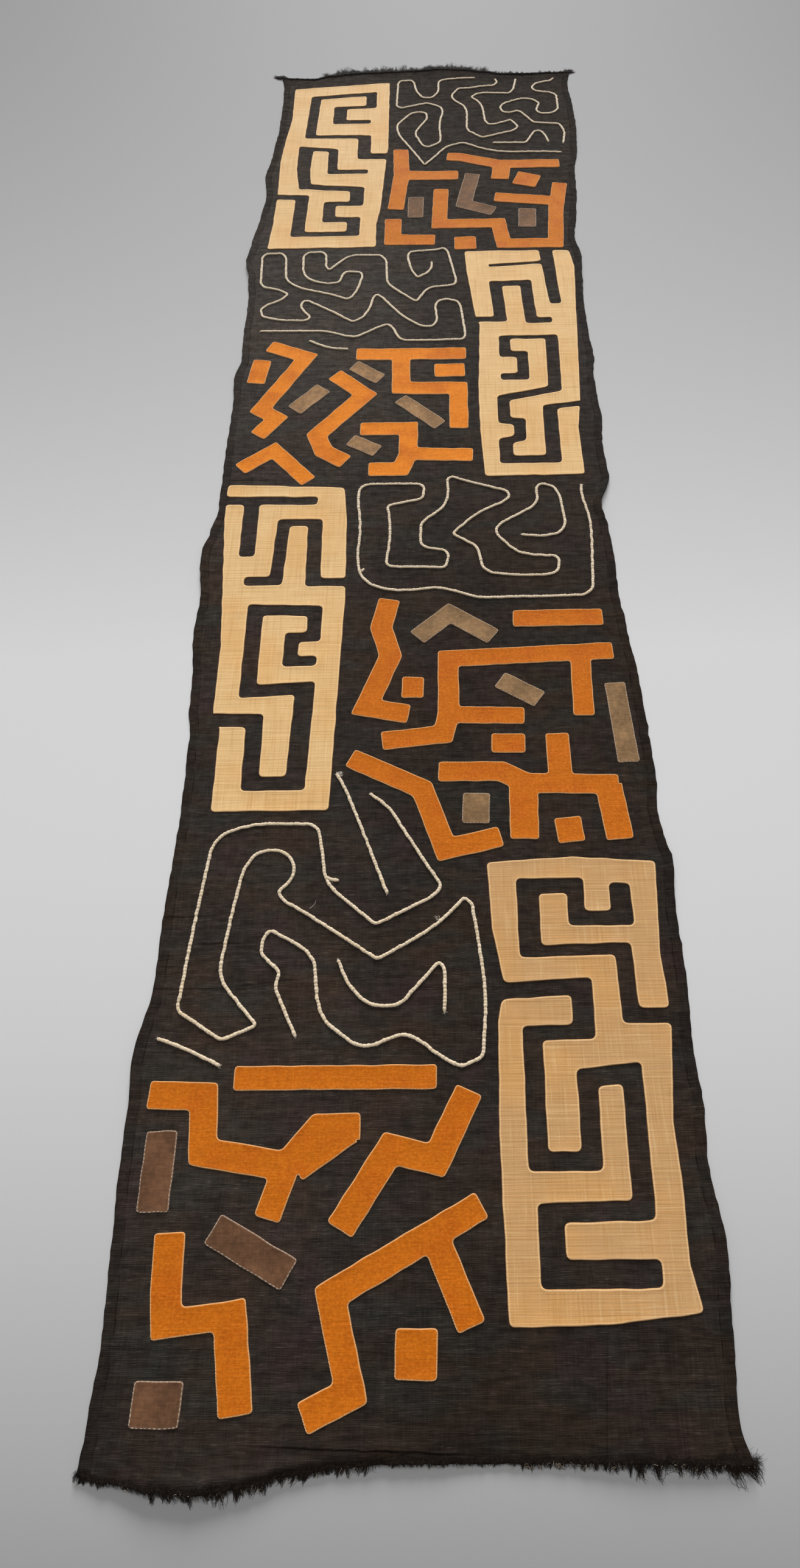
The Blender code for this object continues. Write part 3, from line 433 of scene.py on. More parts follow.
def make_ground():
    u, v = ground_grid()
    rows, columns = u.shape
    inside = np.minimum(u - left_edge(v), right_edge(v) - u)
    top = on_chart(u, v, ground_top(u, v) + hem_rise(inside))
    under = on_chart(u, v, floor_height(u, v) + FLOOR_GAP)
    faces = grid_faces(rows, columns)
    lower = faces[:, ::-1] + rows * columns
    index = np.arange(rows * columns).reshape(rows, columns)
    rim = np.concatenate([index[0, :-1], index[:-1, -1], index[-1, :0:-1], index[:0:-1, 0]])
    turned = np.roll(rim, -1)
    walls = np.stack([turned, rim, rim + rows * columns, turned + rows * columns], axis=1)
    piece = new_piece("ground_woven", np.concatenate([top.reshape(-1, 3), under.reshape(-1, 3)]),
                      np.concatenate([faces, lower, walls]), ground_finish())
    lie = np.stack([inside, np.minimum(v - near_edge(u), far_edge(u) - v), 0 * u], axis=-1).reshape(-1, 3)
    kept = piece.data.attributes.new("lie", "FLOAT_VECTOR", "POINT")
    kept.data.foreach_set("vector", np.concatenate([lie, lie]).astype(np.float32).ravel())
    return piece


ground = dressed(make_ground(), "ground_cloth")

# The frets: four panels of undyed, straw-coloured raffia, each cut from one piece with its slots cut through.
# Every cut edge is turned under and sewn down with small stitches in raffia thread, so the edge stands a
# little proud and the slots show the dark ground.
Bar = namedtuple("Bar", "width route")
Slot = namedtuple("Slot", "widths route")
Fret = namedtuple("Fret", "outline slots")
# Bands 1 to 4 run from the far end to the near end
NATURAL_FRETS = {
    "natural_1": Fret(
        outline=[(2.1, 216.6), (24.9, 216.7), (24.8, 225), (25.6, 231), (26.1, 245), (26.7, 255),
                 (26.7, 275), (26.5, 284.4), (14, 283.2), (3.7, 282), (3.9, 268), (3.1, 260), (2.5, 250),
                 (2.8, 237), (2.6, 225)],
        slots=[
            Slot([2.3, 2.9, 1.4, 2.3, 1.5, 2.4, 1.2, 3.0, 1.6],
                 [(28.5, 251.5), (21.3, 251.5), (21.2, 259.9), (8.6, 260.3), (9.1, 277.7), (22.3, 279.2),
                  (22.3, 273.3), (15.1, 272.9), (15.1, 266.6), (22.4, 266.6)]),
            Slot([1.6, 2.1, 1.4, 3.3, 2.6, 1.9, 3.0, 1.5, 2.6, 1.8, 2.7, 1.6, 2.8, 1.8],
                 [(22.4, 245.2), (14.4, 245.2), (14.3, 254.1), (8, 255.3), (7.9, 247), (8.6, 239.5),
                  (20.3, 238.2), (20.2, 232.7), (14.5, 232.7), (14.5, 226.8), (19.9, 226.8), (19.9, 221.6),
                  (8.1, 221.6), (8.4, 235.3), (0.5, 236.1)]),
        ],
    ),
    "natural_2": Fret(
        outline=[(46, 147.6), (63.6, 147.7), (63.3, 160), (64.2, 167.5), (64.8, 180), (65.1, 192),
                 (65.9, 209), (65.1, 214.5), (43.4, 214.6), (43.7, 208), (45.2, 193), (46, 190),
                 (45.4, 172), (45.4, 160)],
        slots=[
            Slot([2.8, 2.2], [(60.2, 217), (60.5, 209.5), (61.3, 196.4)]),
            Slot([0.9], [(60.5, 210.4), (48.3, 209.3)]),
            Slot([1.5, 2.4, 1.7, 2.3, 1.7],
                 [(43, 191.7), (50.2, 191.7), (49.5, 203.2), (55.6, 203.3), (56.2, 191.2), (60.3, 191.3)]),
            Slot([1.9, 2.1, 1.7, 2.1, 1.0, 2.4, 1.8, 2.2, 1.8, 2.1, 1.7, 2.4, 1.9, 2.6, 1.3],
                 [(49.7, 174.3), (54, 174.4), (54, 180.9), (50.7, 181), (50.7, 186), (59.9, 186.1),
                  (59.7, 170.7), (49.9, 168.2), (49.9, 162.1), (52.7, 161.7), (52.6, 157.3), (50, 156.6),
                  (50, 151.7), (58.4, 151.7), (58.4, 165.6), (66, 166.8)]),
        ],
    ),
    "natural_3": Fret(
        outline=[(5, 79.6), (21.9, 79.6), (22.4, 97), (22.6, 120), (22.1, 138), (21.4, 145.2), (0.9, 146.3),
                 (1.1, 138), (2.3, 122), (3.3, 110), (3.5, 97), (4.8, 94)],
        slots=[
            Slot([1.9], [(-1, 142.4), (16.9, 142)]),
            Slot([2.6], [(5.5, 142.4), (5.7, 129.1)]),
            Slot([1.9, 2.1, 1.6, 2.4, 1.7],
                 [(5.8, 123.6), (11, 123.6), (11.4, 136.8), (16.8, 136.8), (17.1, 123.2), (24, 123.1)]),
            Slot([1.9, 2.2, 1.9, 2.2, 2.2, 2.5, 2.3, 2.9, 2.3, 2.5, 2.4],
                 [(18.6, 106.7), (14.5, 106.7), (14.5, 111.5), (17.9, 111.6), (17.9, 117), (8.2, 117.4),
                  (8.4, 100.9), (17.2, 101.4), (16.8, 84.2), (10.2, 84.2), (10, 95.4), (2, 95.7)]),
        ],
    ),
    "natural_4": Fret(
        outline=[(45.2, 12.8), (56, 13), (67, 14.1), (66, 19), (66.2, 28), (66, 35), (67.2, 48), (66.8, 58),
                 (67.6, 70.8), (56, 71.6), (44.2, 70.9), (44.7, 61), (46, 53), (45.1, 48), (44.8, 34)],
        slots=[
            Slot([2.0, 2.2, 1.6, 2.9, 2.3, 2.2, 2.1, 2.8],
                 [(69, 48.5), (62.1, 48.6), (61.9, 57.8), (49.7, 57.5), (49.7, 67.1), (56.2, 67.1),
                  (56.1, 62.2), (62.3, 62.2), (62.3, 67.4)]),
            Slot([2.2, 2.7, 1.9, 2.4, 2.2, 2.4, 2.4, 2.5, 2.2, 3.0, 3.0],
                 [(43, 51.9), (56.1, 52.6), (56, 46.5), (49.4, 46.4), (49.4, 30.6), (55.8, 30.6),
                  (55.9, 40.6), (61.5, 41.2), (61.4, 25), (50.5, 24.8), (50.5, 18.2), (62.7, 18.2)]),
        ],
    ),
}

# Places nearer than this are one place, in cm; the other values are as in the solids
SAME_PLACE = 1e-4
CORNER_SHARE = 0.42
SHARPEST_KEPT = math.radians(20)
MITRE_TURN = 0.2

# Spacing of points along a cut edge and inside a cut, and the lines of points that shape its turned edge, in cm
EDGE_STEP, INNER_STEP = 0.3, 0.62
RIM_LINES = (0.035, 0.1, 0.22, 0.4)
# A cut edge's waver and its wavelength, the pucker inside it, and how deep its foot goes into the ground
CUT_WAVER, CUT_WAVE = 0.04, 3.6
PUCKER, PUCKER_WAVE, PUCKER_FROM = 0.10, 1.7, 0.3
FOOT_DEPTH = 0.1
# Corners of a drawn outline nearer or straighter than this, in cm and radians, are dropped
SHORTEST_SIDE, LEAST_BEND = 0.03, 0.03

# Height in mm of a sewn-on cut over the ground at distances in cm from its edge
RIM_AT = (0.0, 0.035, 0.1, 0.22, 0.4, 0.7)
RIM_HEIGHT = (0.45, 0.95, 1.2, 1.25, 1.0, 0.9)


def crossing(point_a, along_a, point_b, along_b):
    """Where two lines in the chart cross."""
    return point_a + along_a * ((point_b - point_a).cross(along_b) / along_a.cross(along_b))


def bar_quads(route, widths):
    """The legs of a bent bar as four-cornered shapes that share their mitred corners."""
    places = [Vector(place) for place in route]
    ways = [(end - start).normalized() for start, end in zip(places, places[1:])]
    sides = [Vector((-way.y, way.x)) for way in ways]
    ends = []
    for joint, place in enumerate(places):
        before, after = max(0, joint - 1), min(joint, len(ways) - 1)
        corner = []
        for hand in (1, -1):
            a = place + sides[before] * (hand * widths[before] / 2)
            b = place + sides[after] * (hand * widths[after] / 2)
            bent = before != after and abs(ways[before].cross(ways[after])) > MITRE_TURN
            corner.append(crossing(a, ways[before], b, ways[after]) if bent else (a + b) / 2)
        ends.append(corner)
    return [[start[0], start[1], end[1], end[0]] for start, end in zip(ends, ends[1:])]


def signed_area(loop):
    return 0.5 * sum(a[0] * b[1] - b[0] * a[1] for a, b in zip(loop, list(loop[1:]) + list(loop[:1])))


def outline_of(added, removed):
    """The edge loops of the added shapes joined together with the removed ones cut away."""
    shapes = [shape if signed_area(shape) > 0 else shape[::-1] for shape in added + removed]
    points = [point for shape in shapes for point in shape]
    faces, start = [], 0
    for shape in shapes:
        faces.append(list(range(start, start + len(shape))))
        start += len(shape)
    points, _, triangles, _, _, owners = delaunay_2d_cdt(points, [], faces, 0, SAME_PLACE)
    kept = []
    for triangle, owner in zip(triangles, owners):
        if any(index < len(added) for index in owner) and not any(index >= len(added) for index in owner):
            kept.append(triangle)
    directed = {(a, b) for face in kept for a, b in zip(face, face[1:] + face[:1])}
    following = {a: b for a, b in directed if (b, a) not in directed}
    loops = []
    while following:
        first, at = next(iter(following.items()))
        loop = [points[first]]
        del following[first]
        while at != first:
            loop.append(points[at])
            at = following.pop(at)
        loops.append(loop)
    return loops


def turned_edge(loop, radius, seed):
    """A cut's edge with the round corners and slight waver of cloth turned under by hand, in small steps."""
    plain = []
    for index, point in enumerate(loop):
        before, after = loop[index - 1], loop[(index + 1) % len(loop)]
        bend = (point - before).angle(after - point, 0.0)
        if (point - before).length > SHORTEST_SIDE and bend > LEAST_BEND:
            plain.append(point)
    line = []
    for index, point in enumerate(plain):
        before, after = plain[index - 1], plain[(index + 1) % len(plain)]
        if (point - before).angle(after - point, 0.0) < SHARPEST_KEPT:
            line.append(point)
            continue
        cut_in = min(radius, CORNER_SHARE * (point - before).length, CORNER_SHARE * (after - point).length)
        start = point + (before - point).normalized() * cut_in
        end = point + (after - point).normalized() * cut_in
        for share in (0, 0.25, 0.5, 0.75, 1):
            line.append(start.lerp(point, share).lerp(point.lerp(end, share), share))
    walked = []
    for start, end in zip(line, line[1:] + line[:1]):
        steps = max(1, math.ceil((end - start).length / EDGE_STEP))
        walked += [start.lerp(end, step / steps) for step in range(steps)]
    walked = np.array([tuple(place) for place in walked])
    walked += inward(walked) * (CUT_WAVER * cockles(walked[:, 0], walked[:, 1], CUT_WAVE, seed))[:, None]
    return walked


def inward(loop):
    """Unit directions from a loop's points into the cut."""
    along = np.roll(loop, -1, axis=0) - np.roll(loop, 1, axis=0)
    along /= np.linalg.norm(along, axis=1)[:, None] + 1e-9
    return np.stack([-along[:, 1], along[:, 0]], axis=1)


def edge_distance(places, loops):
    """Distance in cm from places to a cut's nearest edge, negative outside the cut."""
    starts = np.concatenate(loops)
    ends = np.concatenate([np.roll(loop, -1, axis=0) for loop in loops])
    nearest = np.full(len(places), np.inf)
    crossed = np.zeros(len(places), int)
    for first in range(0, len(starts), 200):
        start, end = starts[first:first + 200], ends[first:first + 200]
        way, offset = end - start, places[:, None] - start
        share = np.clip((offset * way).sum(-1) / ((way * way).sum(-1) + 1e-12), 0, 1)
        gap = np.linalg.norm(offset - share[..., None] * way, axis=-1)
        nearest = np.minimum(nearest, gap.min(axis=1))
        spans = (start[:, 1] > places[:, 1:]) != (end[:, 1] > places[:, 1:])
        reach = start[:, 0] + offset[..., 1] * way[:, 0] / np.where(way[:, 1] == 0, 1e-12, way[:, 1])
        crossed += (spans & (places[:, :1] < reach)).sum(axis=1)
    return np.where(crossed % 2 == 1, nearest, -nearest)


def cut_mesh(name, loops, finish, seed):
    """A cut of raffia over the ground, its turned edge a little proud; each point keeps its inset in mm."""
    rows = [np.concatenate(loops)]
    insets = [np.zeros(len(rows[0]))]
    for line in RIM_LINES:
        moved = np.concatenate([loop + inward(loop) * line for loop in loops])
        kept = edge_distance(moved, loops) > 0.9 * line
        rows.append(moved[kept])
        insets.append(np.full(kept.sum(), line))
    low, high = rows[0].min(axis=0), rows[0].max(axis=0)
    us, vs = np.meshgrid(np.arange(low[0], high[0], INNER_STEP), np.arange(low[1], high[1], INNER_STEP))
    us[1::2] += INNER_STEP / 2
    inner = np.stack([us.ravel(), vs.ravel()], axis=1)
    gap = edge_distance(inner, loops)
    rows.append(inner[gap > INNER_STEP])
    insets.append(gap[gap > INNER_STEP])
    places, insets = np.concatenate(rows), np.concatenate(insets)
    faces, start = [], 0
    for loop in loops:
        faces.append(list(range(start, start + len(loop))))
        start += len(loop)
    outer = {index for index, loop in enumerate(loops) if signed_area(loop) > 0}
    made = delaunay_2d_cdt([Vector(place) for place in places], [], faces, 0, SAME_PLACE)
    points, _, triangles, sources, _, owners = made
    kept = np.array([triangle for triangle, owner in zip(triangles, owners)
                     if owner and all(index in outer for index in owner)])
    places = np.array([tuple(point) for point in points])
    insets = np.array([insets[source[0]] if source else 0.0 for source in sources])
    u, v = places[:, 0], places[:, 1]
    pucker = PUCKER * cockles(u, v, PUCKER_WAVE, seed + 50) * np.clip(insets / PUCKER_FROM, 0, 1)
    lift = np.interp(insets, RIM_AT, RIM_HEIGHT) + pucker
    top = on_chart(u, v, ground_top(u, v) + lift * MM)
    foot = on_chart(u, v, ground_top(u, v) - FOOT_DEPTH * MM)
    directed = np.concatenate([kept[:, [0, 1]], kept[:, [1, 2]], kept[:, [2, 0]]])
    known = set(map(tuple, directed.tolist()))
    rim = np.array([(a, b) for a, b in known if (b, a) not in known])
    rim = rim[rim[:, 0].argsort()]
    walls = np.stack([rim[:, 1], rim[:, 0], rim[:, 0] + len(top), rim[:, 1] + len(top)], axis=1)
    piece = new_piece(name, np.concatenate([top, foot]), kept.tolist() + walls.tolist(), finish)
    inset = piece.data.attributes.new("inset", "FLOAT", "POINT")
    inset.data.foreach_set("value", np.concatenate([insets * 10, 0 * insets]).astype(np.float32))
    return piece


# Spacing of stitches, how far each reaches along the edge, its width, and its insets at both ends, all in cm;
# then its height in mm
Sewing = namedtuple("Sewing", "pitch reach width start end height")
STITCH_SINKS = 0.12


def stitch_mesh(name, cuts, sewing, finish):
    """Stitches along the cuts' edges: each runs along the edge while it goes from one inset to another."""
    chance = np.random.default_rng(len(cuts))
    blocks = []
    for loops in cuts:
        for loop in loops:
            closed = np.vstack([loop, loop[:1]])
            walked = np.concatenate([[0], np.cumsum(np.linalg.norm(np.diff(closed, axis=0), axis=1))])
            into = np.vstack([inward(loop), inward(loop)[:1]])
            count = max(3, round(walked[-1] / sewing.pitch))
            middle = (np.arange(count) + chance.uniform(-0.2, 0.2, count)) * walked[-1] / count
            reach = sewing.reach * chance.uniform(0.75, 1.2, count)
            half = sewing.width / 2 * chance.uniform(0.75, 1.25, count)
            shift = chance.uniform(-0.02, 0.02, count)
            rows = []
            for share, swell in ((-0.5, 0.25), (-0.3, 0.9), (0.0, 1.0), (0.3, 0.9), (0.5, 0.25)):
                at = (middle + reach * share) % walked[-1]
                foot, way = (np.stack([np.interp(at, walked, line[:, axis]) for axis in (0, 1)], axis=1)
                             for line in (closed, into))
                inset = sewing.start + (sewing.end - sewing.start) * (share + 0.5) + shift
                centre = foot + way * inset[:, None]
                rise = np.interp(inset, RIM_AT, RIM_HEIGHT) - STITCH_SINKS + sewing.height * swell
                for side, drop in ((-1, 0.5 * sewing.height), (0, 0.0), (1, 0.5 * sewing.height)):
                    spot = centre + way * (half * swell * side)[:, None]
                    rows.append(on_chart(spot[:, 0], spot[:, 1],
                                         ground_top(spot[:, 0], spot[:, 1]) + (rise - drop) * MM))
            blocks.append(np.stack(rows, axis=1))
    points = np.concatenate(blocks)
    corner = [(row * 3 + side, row * 3 + side + 1, row * 3 + side + 4, row * 3 + side + 3)
              for row in range(4) for side in range(2)]
    faces = (np.arange(len(points))[:, None, None] * 15 + np.array(corner)).reshape(-1, 4)
    return new_piece(name, points, faces, finish)


def thread_finish(name, colour):
    finish, shader, place = new_finish(name, 0.75, 0.2)
    light = 0.72 + 0.5 * strips(place, 900, 900, 8)
    feed(scaled(tuned(colour), light), shader, "Base Color")
    return finish


def inset_of(place):
    """The distance in mm from a cut's edge, kept in its points."""
    return place.node("ShaderNodeAttribute", {"attribute_name": "inset"}, {}, "Fac")


def natural_finish():
    finish, shader, place = new_finish("natural_raffia", 0.8, 0.1)
    along = apart(place)[1]
    inset = inset_of(place)
    # The nearest fret is darker than the rest: painted shade for the light that falls off towards the near end
    base = blended(rising(along, -0.71, -0.64), tuned("ba9162"), tuned("d3ae79"))
    base = blended(rising(strips(place, 9, 7, 11, 3.0), 0.42, 0.68) * 0.4, base, tuned("cc9550"))
    warp, weft = strips(place, 390, 9, 12, 3.0), strips(place, 9, 390, 13, 3.0)
    dark = rising(warp, 0.50, 0.70) * 0.26 + rising(weft, 0.50, 0.70) * 0.22
    base = blended(dark, base, tuned("a87538"))
    pale = rising(strips(place, 300, 11, 14, 3.0), 0.54, 0.72)
    pale = pale + rising(strips(place, 11, 300, 15, 3.0), 0.54, 0.72)
    base = blended(pale * 0.15, base, tuned("efd6a6"))
    turned = rising(inset, 0.5, 0.9) * (1 - rising(inset, 1.6, 3.0))
    base = blended(turned * 0.45, base, tuned("ecc898"))
    # A thin dark line at the very edge: painted shadow where the turned edge meets the ground
    base = blended((1 - rising(inset, 0.1, 0.8)) * 0.7, base, tuned("7c4d24"))
    light = 0.84 + 0.32 * strips(place, 700, 700, 16)
    feed(scaled(base, light), shader, "Base Color")
    feed(raised(0.7 * warp + 0.7 * weft, 0.0007), shader, "Normal")
    return finish


natural = natural_finish()
natural_cuts = {}
NATURAL_CORNER = 0.75
for number, (node, fret) in enumerate(NATURAL_FRETS.items()):
    panel = [Vector(place) for place in fret.outline]
    slots = [quad for slot in fret.slots for quad in bar_quads(slot.route, slot.widths)]
    natural_cuts[node] = [turned_edge(loop, NATURAL_CORNER, number) for loop in outline_of([panel], slots)]
    panel_piece = cut_mesh(f"{node}_sewn", natural_cuts[node], natural, number)
    dressed(panel_piece, node)
tan_thread = thread_finish("tan_thread", "c39356")
natural_sewing = Sewing(pitch=0.50, reach=0.22, width=0.05, start=0.03, end=0.12, height=0.22)
natural_stitches = stitch_mesh("natural_stitches", natural_cuts.values(), natural_sewing, tan_thread)
dressed(natural_stitches)

# The orange pieces: bars, squares, zigzags and branched shapes of raffia dyed orange, unevenly, so the dye is
# lighter and darker in clouds. Their edges are turned under and whipped down with pale thread, which reads as
# a fine peach line round each piece.
ORANGE_BARS = {
    "orange_1_tee": [Bar(3.5, [(29.6, 254.3), (29.9, 243.5), (28.8, 230.4)]),
                     Bar(3.5, [(29.9, 243.6), (42.5, 243.5)])],
    "orange_1_stub_bar": [Bar(3.2, [(40, 251.1), (43.5, 250.7), (51.5, 247.6), (65.2, 247.7)]),
                          Bar(4.0, [(52.3, 247.7), (51.7, 241.7)])],
    "orange_1_tilted_square": [Bar(4.9, [(55.1, 242.2), (60.1, 240.5)])],
    "orange_1_long_path": [Bar(3.3, [(38.7, 238), (38.2, 224.8), (50.8, 224.8), (51.7, 217.2), (62.6, 217.2),
                                     (63.4, 230), (64.8, 239.8)]),
                           Bar(3.4, [(50.3, 234.7), (63.6, 232.8)])],
    "orange_1_ell": [Bar(3.6, [(28.4, 226.8), (28.4, 219.2), (37.3, 219)])],
    "orange_1_small_square": [Bar(4.6, [(43.6, 219.9), (43.7, 215.4)])],
    "orange_2_hook": [Bar(3.3, [(5.2, 184.3), (12.6, 180.8), (5, 165.9), (8.1, 163.5), (4.9, 158.9)])],
    "orange_2_lozenge": [Bar(3.5, [(4.2, 180.2), (3.4, 173.4)])],
    "orange_2_chevron": [Bar(3.1, [(2.6, 150.2), (8.3, 155), (15, 146.9)])],
    "orange_2_wave": [Bar(3.5, [(18.2, 175.6), (24.2, 169.8), (15.8, 158.8), (17.2, 154.6), (21.3, 151.7)])],
    "orange_2_flag": [Bar(3.4, [(22.1, 181.5), (43.2, 181.5)]),
                      Bar(3.5, [(30.7, 181.5), (30.9, 171.6), (41.6, 171.3), (41.6, 160.2)])],
    "orange_2_small_bar": [Bar(3.8, [(37.1, 176.5), (42.9, 176.6)])],
    "orange_2_branch": [Bar(3.4, [(23.6, 160.3), (32.4, 160.3), (32.4, 153.4), (31.2, 149.7), (25.4, 149.7)]),
                        Bar(3.3, [(32.4, 153.6), (44, 153.1)])],
    "orange_3_zigzag": [Bar(3.5, [(29.8, 119.3), (28.6, 113.3), (30.2, 107.6), (26.7, 97.7), (33.2, 96.4)])],
    "orange_3_small_square": [Bar(3.4, [(33.8, 103.4), (33.7, 99.4)])],
    "orange_3_short_bar": [Bar(3.4, [(49.6, 114.9), (64, 115)])],
    "orange_3_big_branch": [Bar(3.3, [(65, 108.1), (39.2, 106.9), (39.2, 96.6), (38.4, 92.6), (29.2, 91.5)]),
                            Bar(3.2, [(59.8, 107.4), (59.6, 95.7)]), Bar(3.1, [(39.4, 96.2), (50.6, 95.8)])],
    "orange_3_small_bar": [Bar(3.4, [(45.5, 90.9), (50.5, 90.8)])],
    "orange_3_long_bend": [Bar(3.3, [(24.6, 88.6), (35.3, 83), (38.6, 73.1), (46.4, 75)])],
    "orange_3_comb": [Bar(3.4, [(37.6, 86), (46.8, 85.9), (50.5, 83.8), (63.7, 83.4)]),
                      Bar(3.5, [(55.3, 92.5), (55.4, 83.8)]), Bar(4.1, [(49.9, 84), (49.7, 74.5)]),
                      Bar(3.9, [(62.2, 83.4), (63.1, 74.3)])],
    "orange_3_comb_square": [Bar(3.8, [(55.9, 78), (56.3, 73.9)])],
    "orange_4_long_bar": [Bar(3.1, [(12.1, 41), (37.3, 41)])],
    "orange_4_branch": [Bar(3.5, [(1.7, 39.1), (8.6, 38.8), (9.2, 32.1), (19.6, 30.3)]),
                        Bar(3.3, [(19.3, 30.5), (23, 34.9), (28, 35)]),
                        Bar(2.6, [(27, 34.2), (20.6, 29.8)]), Bar(3.2, [(19.4, 30.5), (17.5, 24.4)])],
    "orange_4_zigzag": [Bar(3.5, [(41.3, 39.3), (37.2, 30.9), (31.7, 32.3), (26, 23.2)])],
    "orange_4_step": [Bar(3.6, [(6.4, 23.1), (6.7, 16.8), (7.4, 12.1)]),
                      Bar(3.0, [(6.2, 13.5), (15.3, 14.5)]), Bar(3.8, [(13.9, 15.9), (15.7, 4.6)])],
    "orange_4_big_branch": [Bar(3.3, [(42.5, 25.8), (25.3, 16.3), (27.9, 6.6), (22.8, 4.3)]),
                            Bar(3.3, [(37.2, 22), (41.1, 12.9)])],
    "orange_4_square": [Bar(4.7, [(35, 12.9), (34.9, 7.8)])],
}


def orange_finish():
    finish, shader, place = new_finish("orange_raffia", 0.85, 0.04)
    along = apart(place)[1]
    inset = inset_of(place)
    # The two nearer bands are darker: painted shade for the light that falls off towards the near end
    base = blended(rising(along, -0.30, 0.05), tuned("b45e07"), tuned("d37812"))
    base = blended(rising(along, 0.50, 0.70), base, tuned("b86808"))
    clouds = rising(strips(place, 22, 22, 31, 3.0), 0.44, 0.68)
    base = blended(clouds * 0.5, base, tuned("a94f08"))
    mottle = rising(strips(place, 300, 300, 32, 4.0), 0.38, 0.66)
    base = blended(mottle * 0.26, base, tuned("dd8024"))
    base = blended(rising(strips(place, 230, 230, 33, 4.0), 0.46, 0.70) * 0.24, base, tuned("93460a"))
    warp, weft = strips(place, 520, 40, 34), strips(place, 40, 520, 35)
    rim = (1 - rising(inset, 1.0, 1.8)) * (1 - 0.7 * rising(along, 0.3, 0.7))
    base = blended(rim, base, tuned("c98f58"))
    feed(scaled(base, 0.72 + 0.28 * warp + 0.28 * weft), shader, "Base Color")
    feed(raised(0.5 * warp + 0.5 * weft + 0.2 * mottle, 0.0005), shader, "Normal")
    return finish


def bar_cuts(pieces, radius, seed):
    """Edge loops of pieces made of bent bars."""
    cuts = {}
    for number, (node, bars) in enumerate(pieces.items()):
        quads = [quad for bar in bars for quad in bar_quads(bar.route, [bar.width] * (len(bar.route) - 1))]
        cuts[node] = [turned_edge(loop, radius, seed + number) for loop in outline_of(quads, [])]
    return cuts


def sewn_bars(pieces, radius, seed, finish):
    """Sews on pieces made of bent bars; returns the edge loops of each."""
    cuts = bar_cuts(pieces, radius, seed)
    for number, (node, loops) in enumerate(cuts.items()):
        dressed(cut_mesh(f"{node}_sewn", loops, finish, seed + number), node)
    return cuts.values()


ORANGE_CORNER, ORANGE_SEED = 0.5, 100
orange_cuts = sewn_bars(ORANGE_BARS, ORANGE_CORNER, ORANGE_SEED, orange_finish())
pale_thread = thread_finish("pale_thread", "d6a878")
orange_sewing = Sewing(pitch=0.30, reach=0.30, width=0.07, start=0.03, end=0.11, height=0.28)
orange_stitches = stitch_mesh("orange_stitches", orange_cuts, orange_sewing, pale_thread)
dressed(orange_stitches)

# The brown pieces: short bars and a few bent ones of raffia dyed a greyish brown. They are sewn down the same
# way, with thicker, whiter stitches that stand out as dashes against the brown.
BROWN_BARS = {
    "brown_1_bend": [Bar(3.4, [(45.7, 243.9), (43.6, 232.2), (50, 229.2)])],
    "brown_1_left_bar": [Bar(3.4, [(33.2, 235), (33.1, 227.3)])],
    "brown_1_right_bar": [Bar(3.8, [(57.2, 230), (56.9, 223.2)])],
    "brown_2_top_slant": [Bar(3.1, [(21.7, 178.2), (27, 174.2)])],
    "brown_2_left_slant": [Bar(3.4, [(16.4, 171.8), (11.2, 165.7)])],
    "brown_2_long_slant": [Bar(3.0, [(30.8, 168.5), (38.2, 161.1)])],
    "brown_2_small_slant": [Bar(3.1, [(21.9, 157.5), (26.9, 154.4)])],
    "brown_3_chevron": [Bar(3.3, [(34.3, 111.2), (39.5, 116.2), (46.4, 111.2)])],
    "brown_3_slant": [Bar(3.3, [(47.1, 102.7), (53.1, 98.8)])],
    "brown_3_long_bar": [Bar(3.2, [(64.7, 101.8), (65.5, 87.2)])],
    "brown_3_square": [Bar(3.9, [(43.1, 82.2), (42.9, 77.2)])],
    "brown_4_left_bar": [Bar(3.8, [(4, 34.7), (4, 25.3)])],
    "brown_4_slant": [Bar(3.7, [(11.3, 23.5), (20.5, 18.4)])],
    "brown_4_square": [Bar(4.5, [(4.4, 5.8), (9.8, 5.7)])],
}


def brown_finish():
    finish, shader, place = new_finish("brown_raffia", 0.85, 0.08)
    along = apart(place)[1]
    inset = inset_of(place)
    # Darker at the near end: partly the dye, partly painted shade for the light that falls off towards the near
    # end
    base = blended(rising(along, -1.05, -0.80), tuned("60422d"), tuned("816444"))
    base = blended(rising(along, -0.10, 0.05), base, tuned("8e6c48"))
    base = blended(rising(along, 0.50, 0.70), base, tuned("69492c"))
    mottle = rising(strips(place, 170, 170, 52, 4.0), 0.36, 0.66)
    cloud = rising(strips(place, 30, 30, 51, 3.0), 0.38, 0.66)
    base = scaled(base, 0.72 + 0.24 * mottle + 0.32 * cloud)
    warp, weft = strips(place, 460, 60, 53), strips(place, 60, 460, 54)
    base = blended((1 - rising(inset, 1.0, 2.0)) * 0.6, base, tuned("957c68"))
    feed(scaled(base, 0.60 + 0.40 * warp + 0.40 * weft), shader, "Base Color")
    feed(raised(0.5 * warp + 0.5 * weft, 0.0005), shader, "Normal")
    return finish


BROWN_CORNER, BROWN_SEED = 0.45, 200
brown_cuts = sewn_bars(BROWN_BARS, BROWN_CORNER, BROWN_SEED, brown_finish())
white_thread = thread_finish("white_thread", "b5a695")
brown_sewing = Sewing(pitch=0.50, reach=0.33, width=0.085, start=0.07, end=0.09, height=0.32)
brown_stitches = stitch_mesh("brown_stitches", brown_cuts, brown_sewing, white_thread)
dressed(brown_stitches)

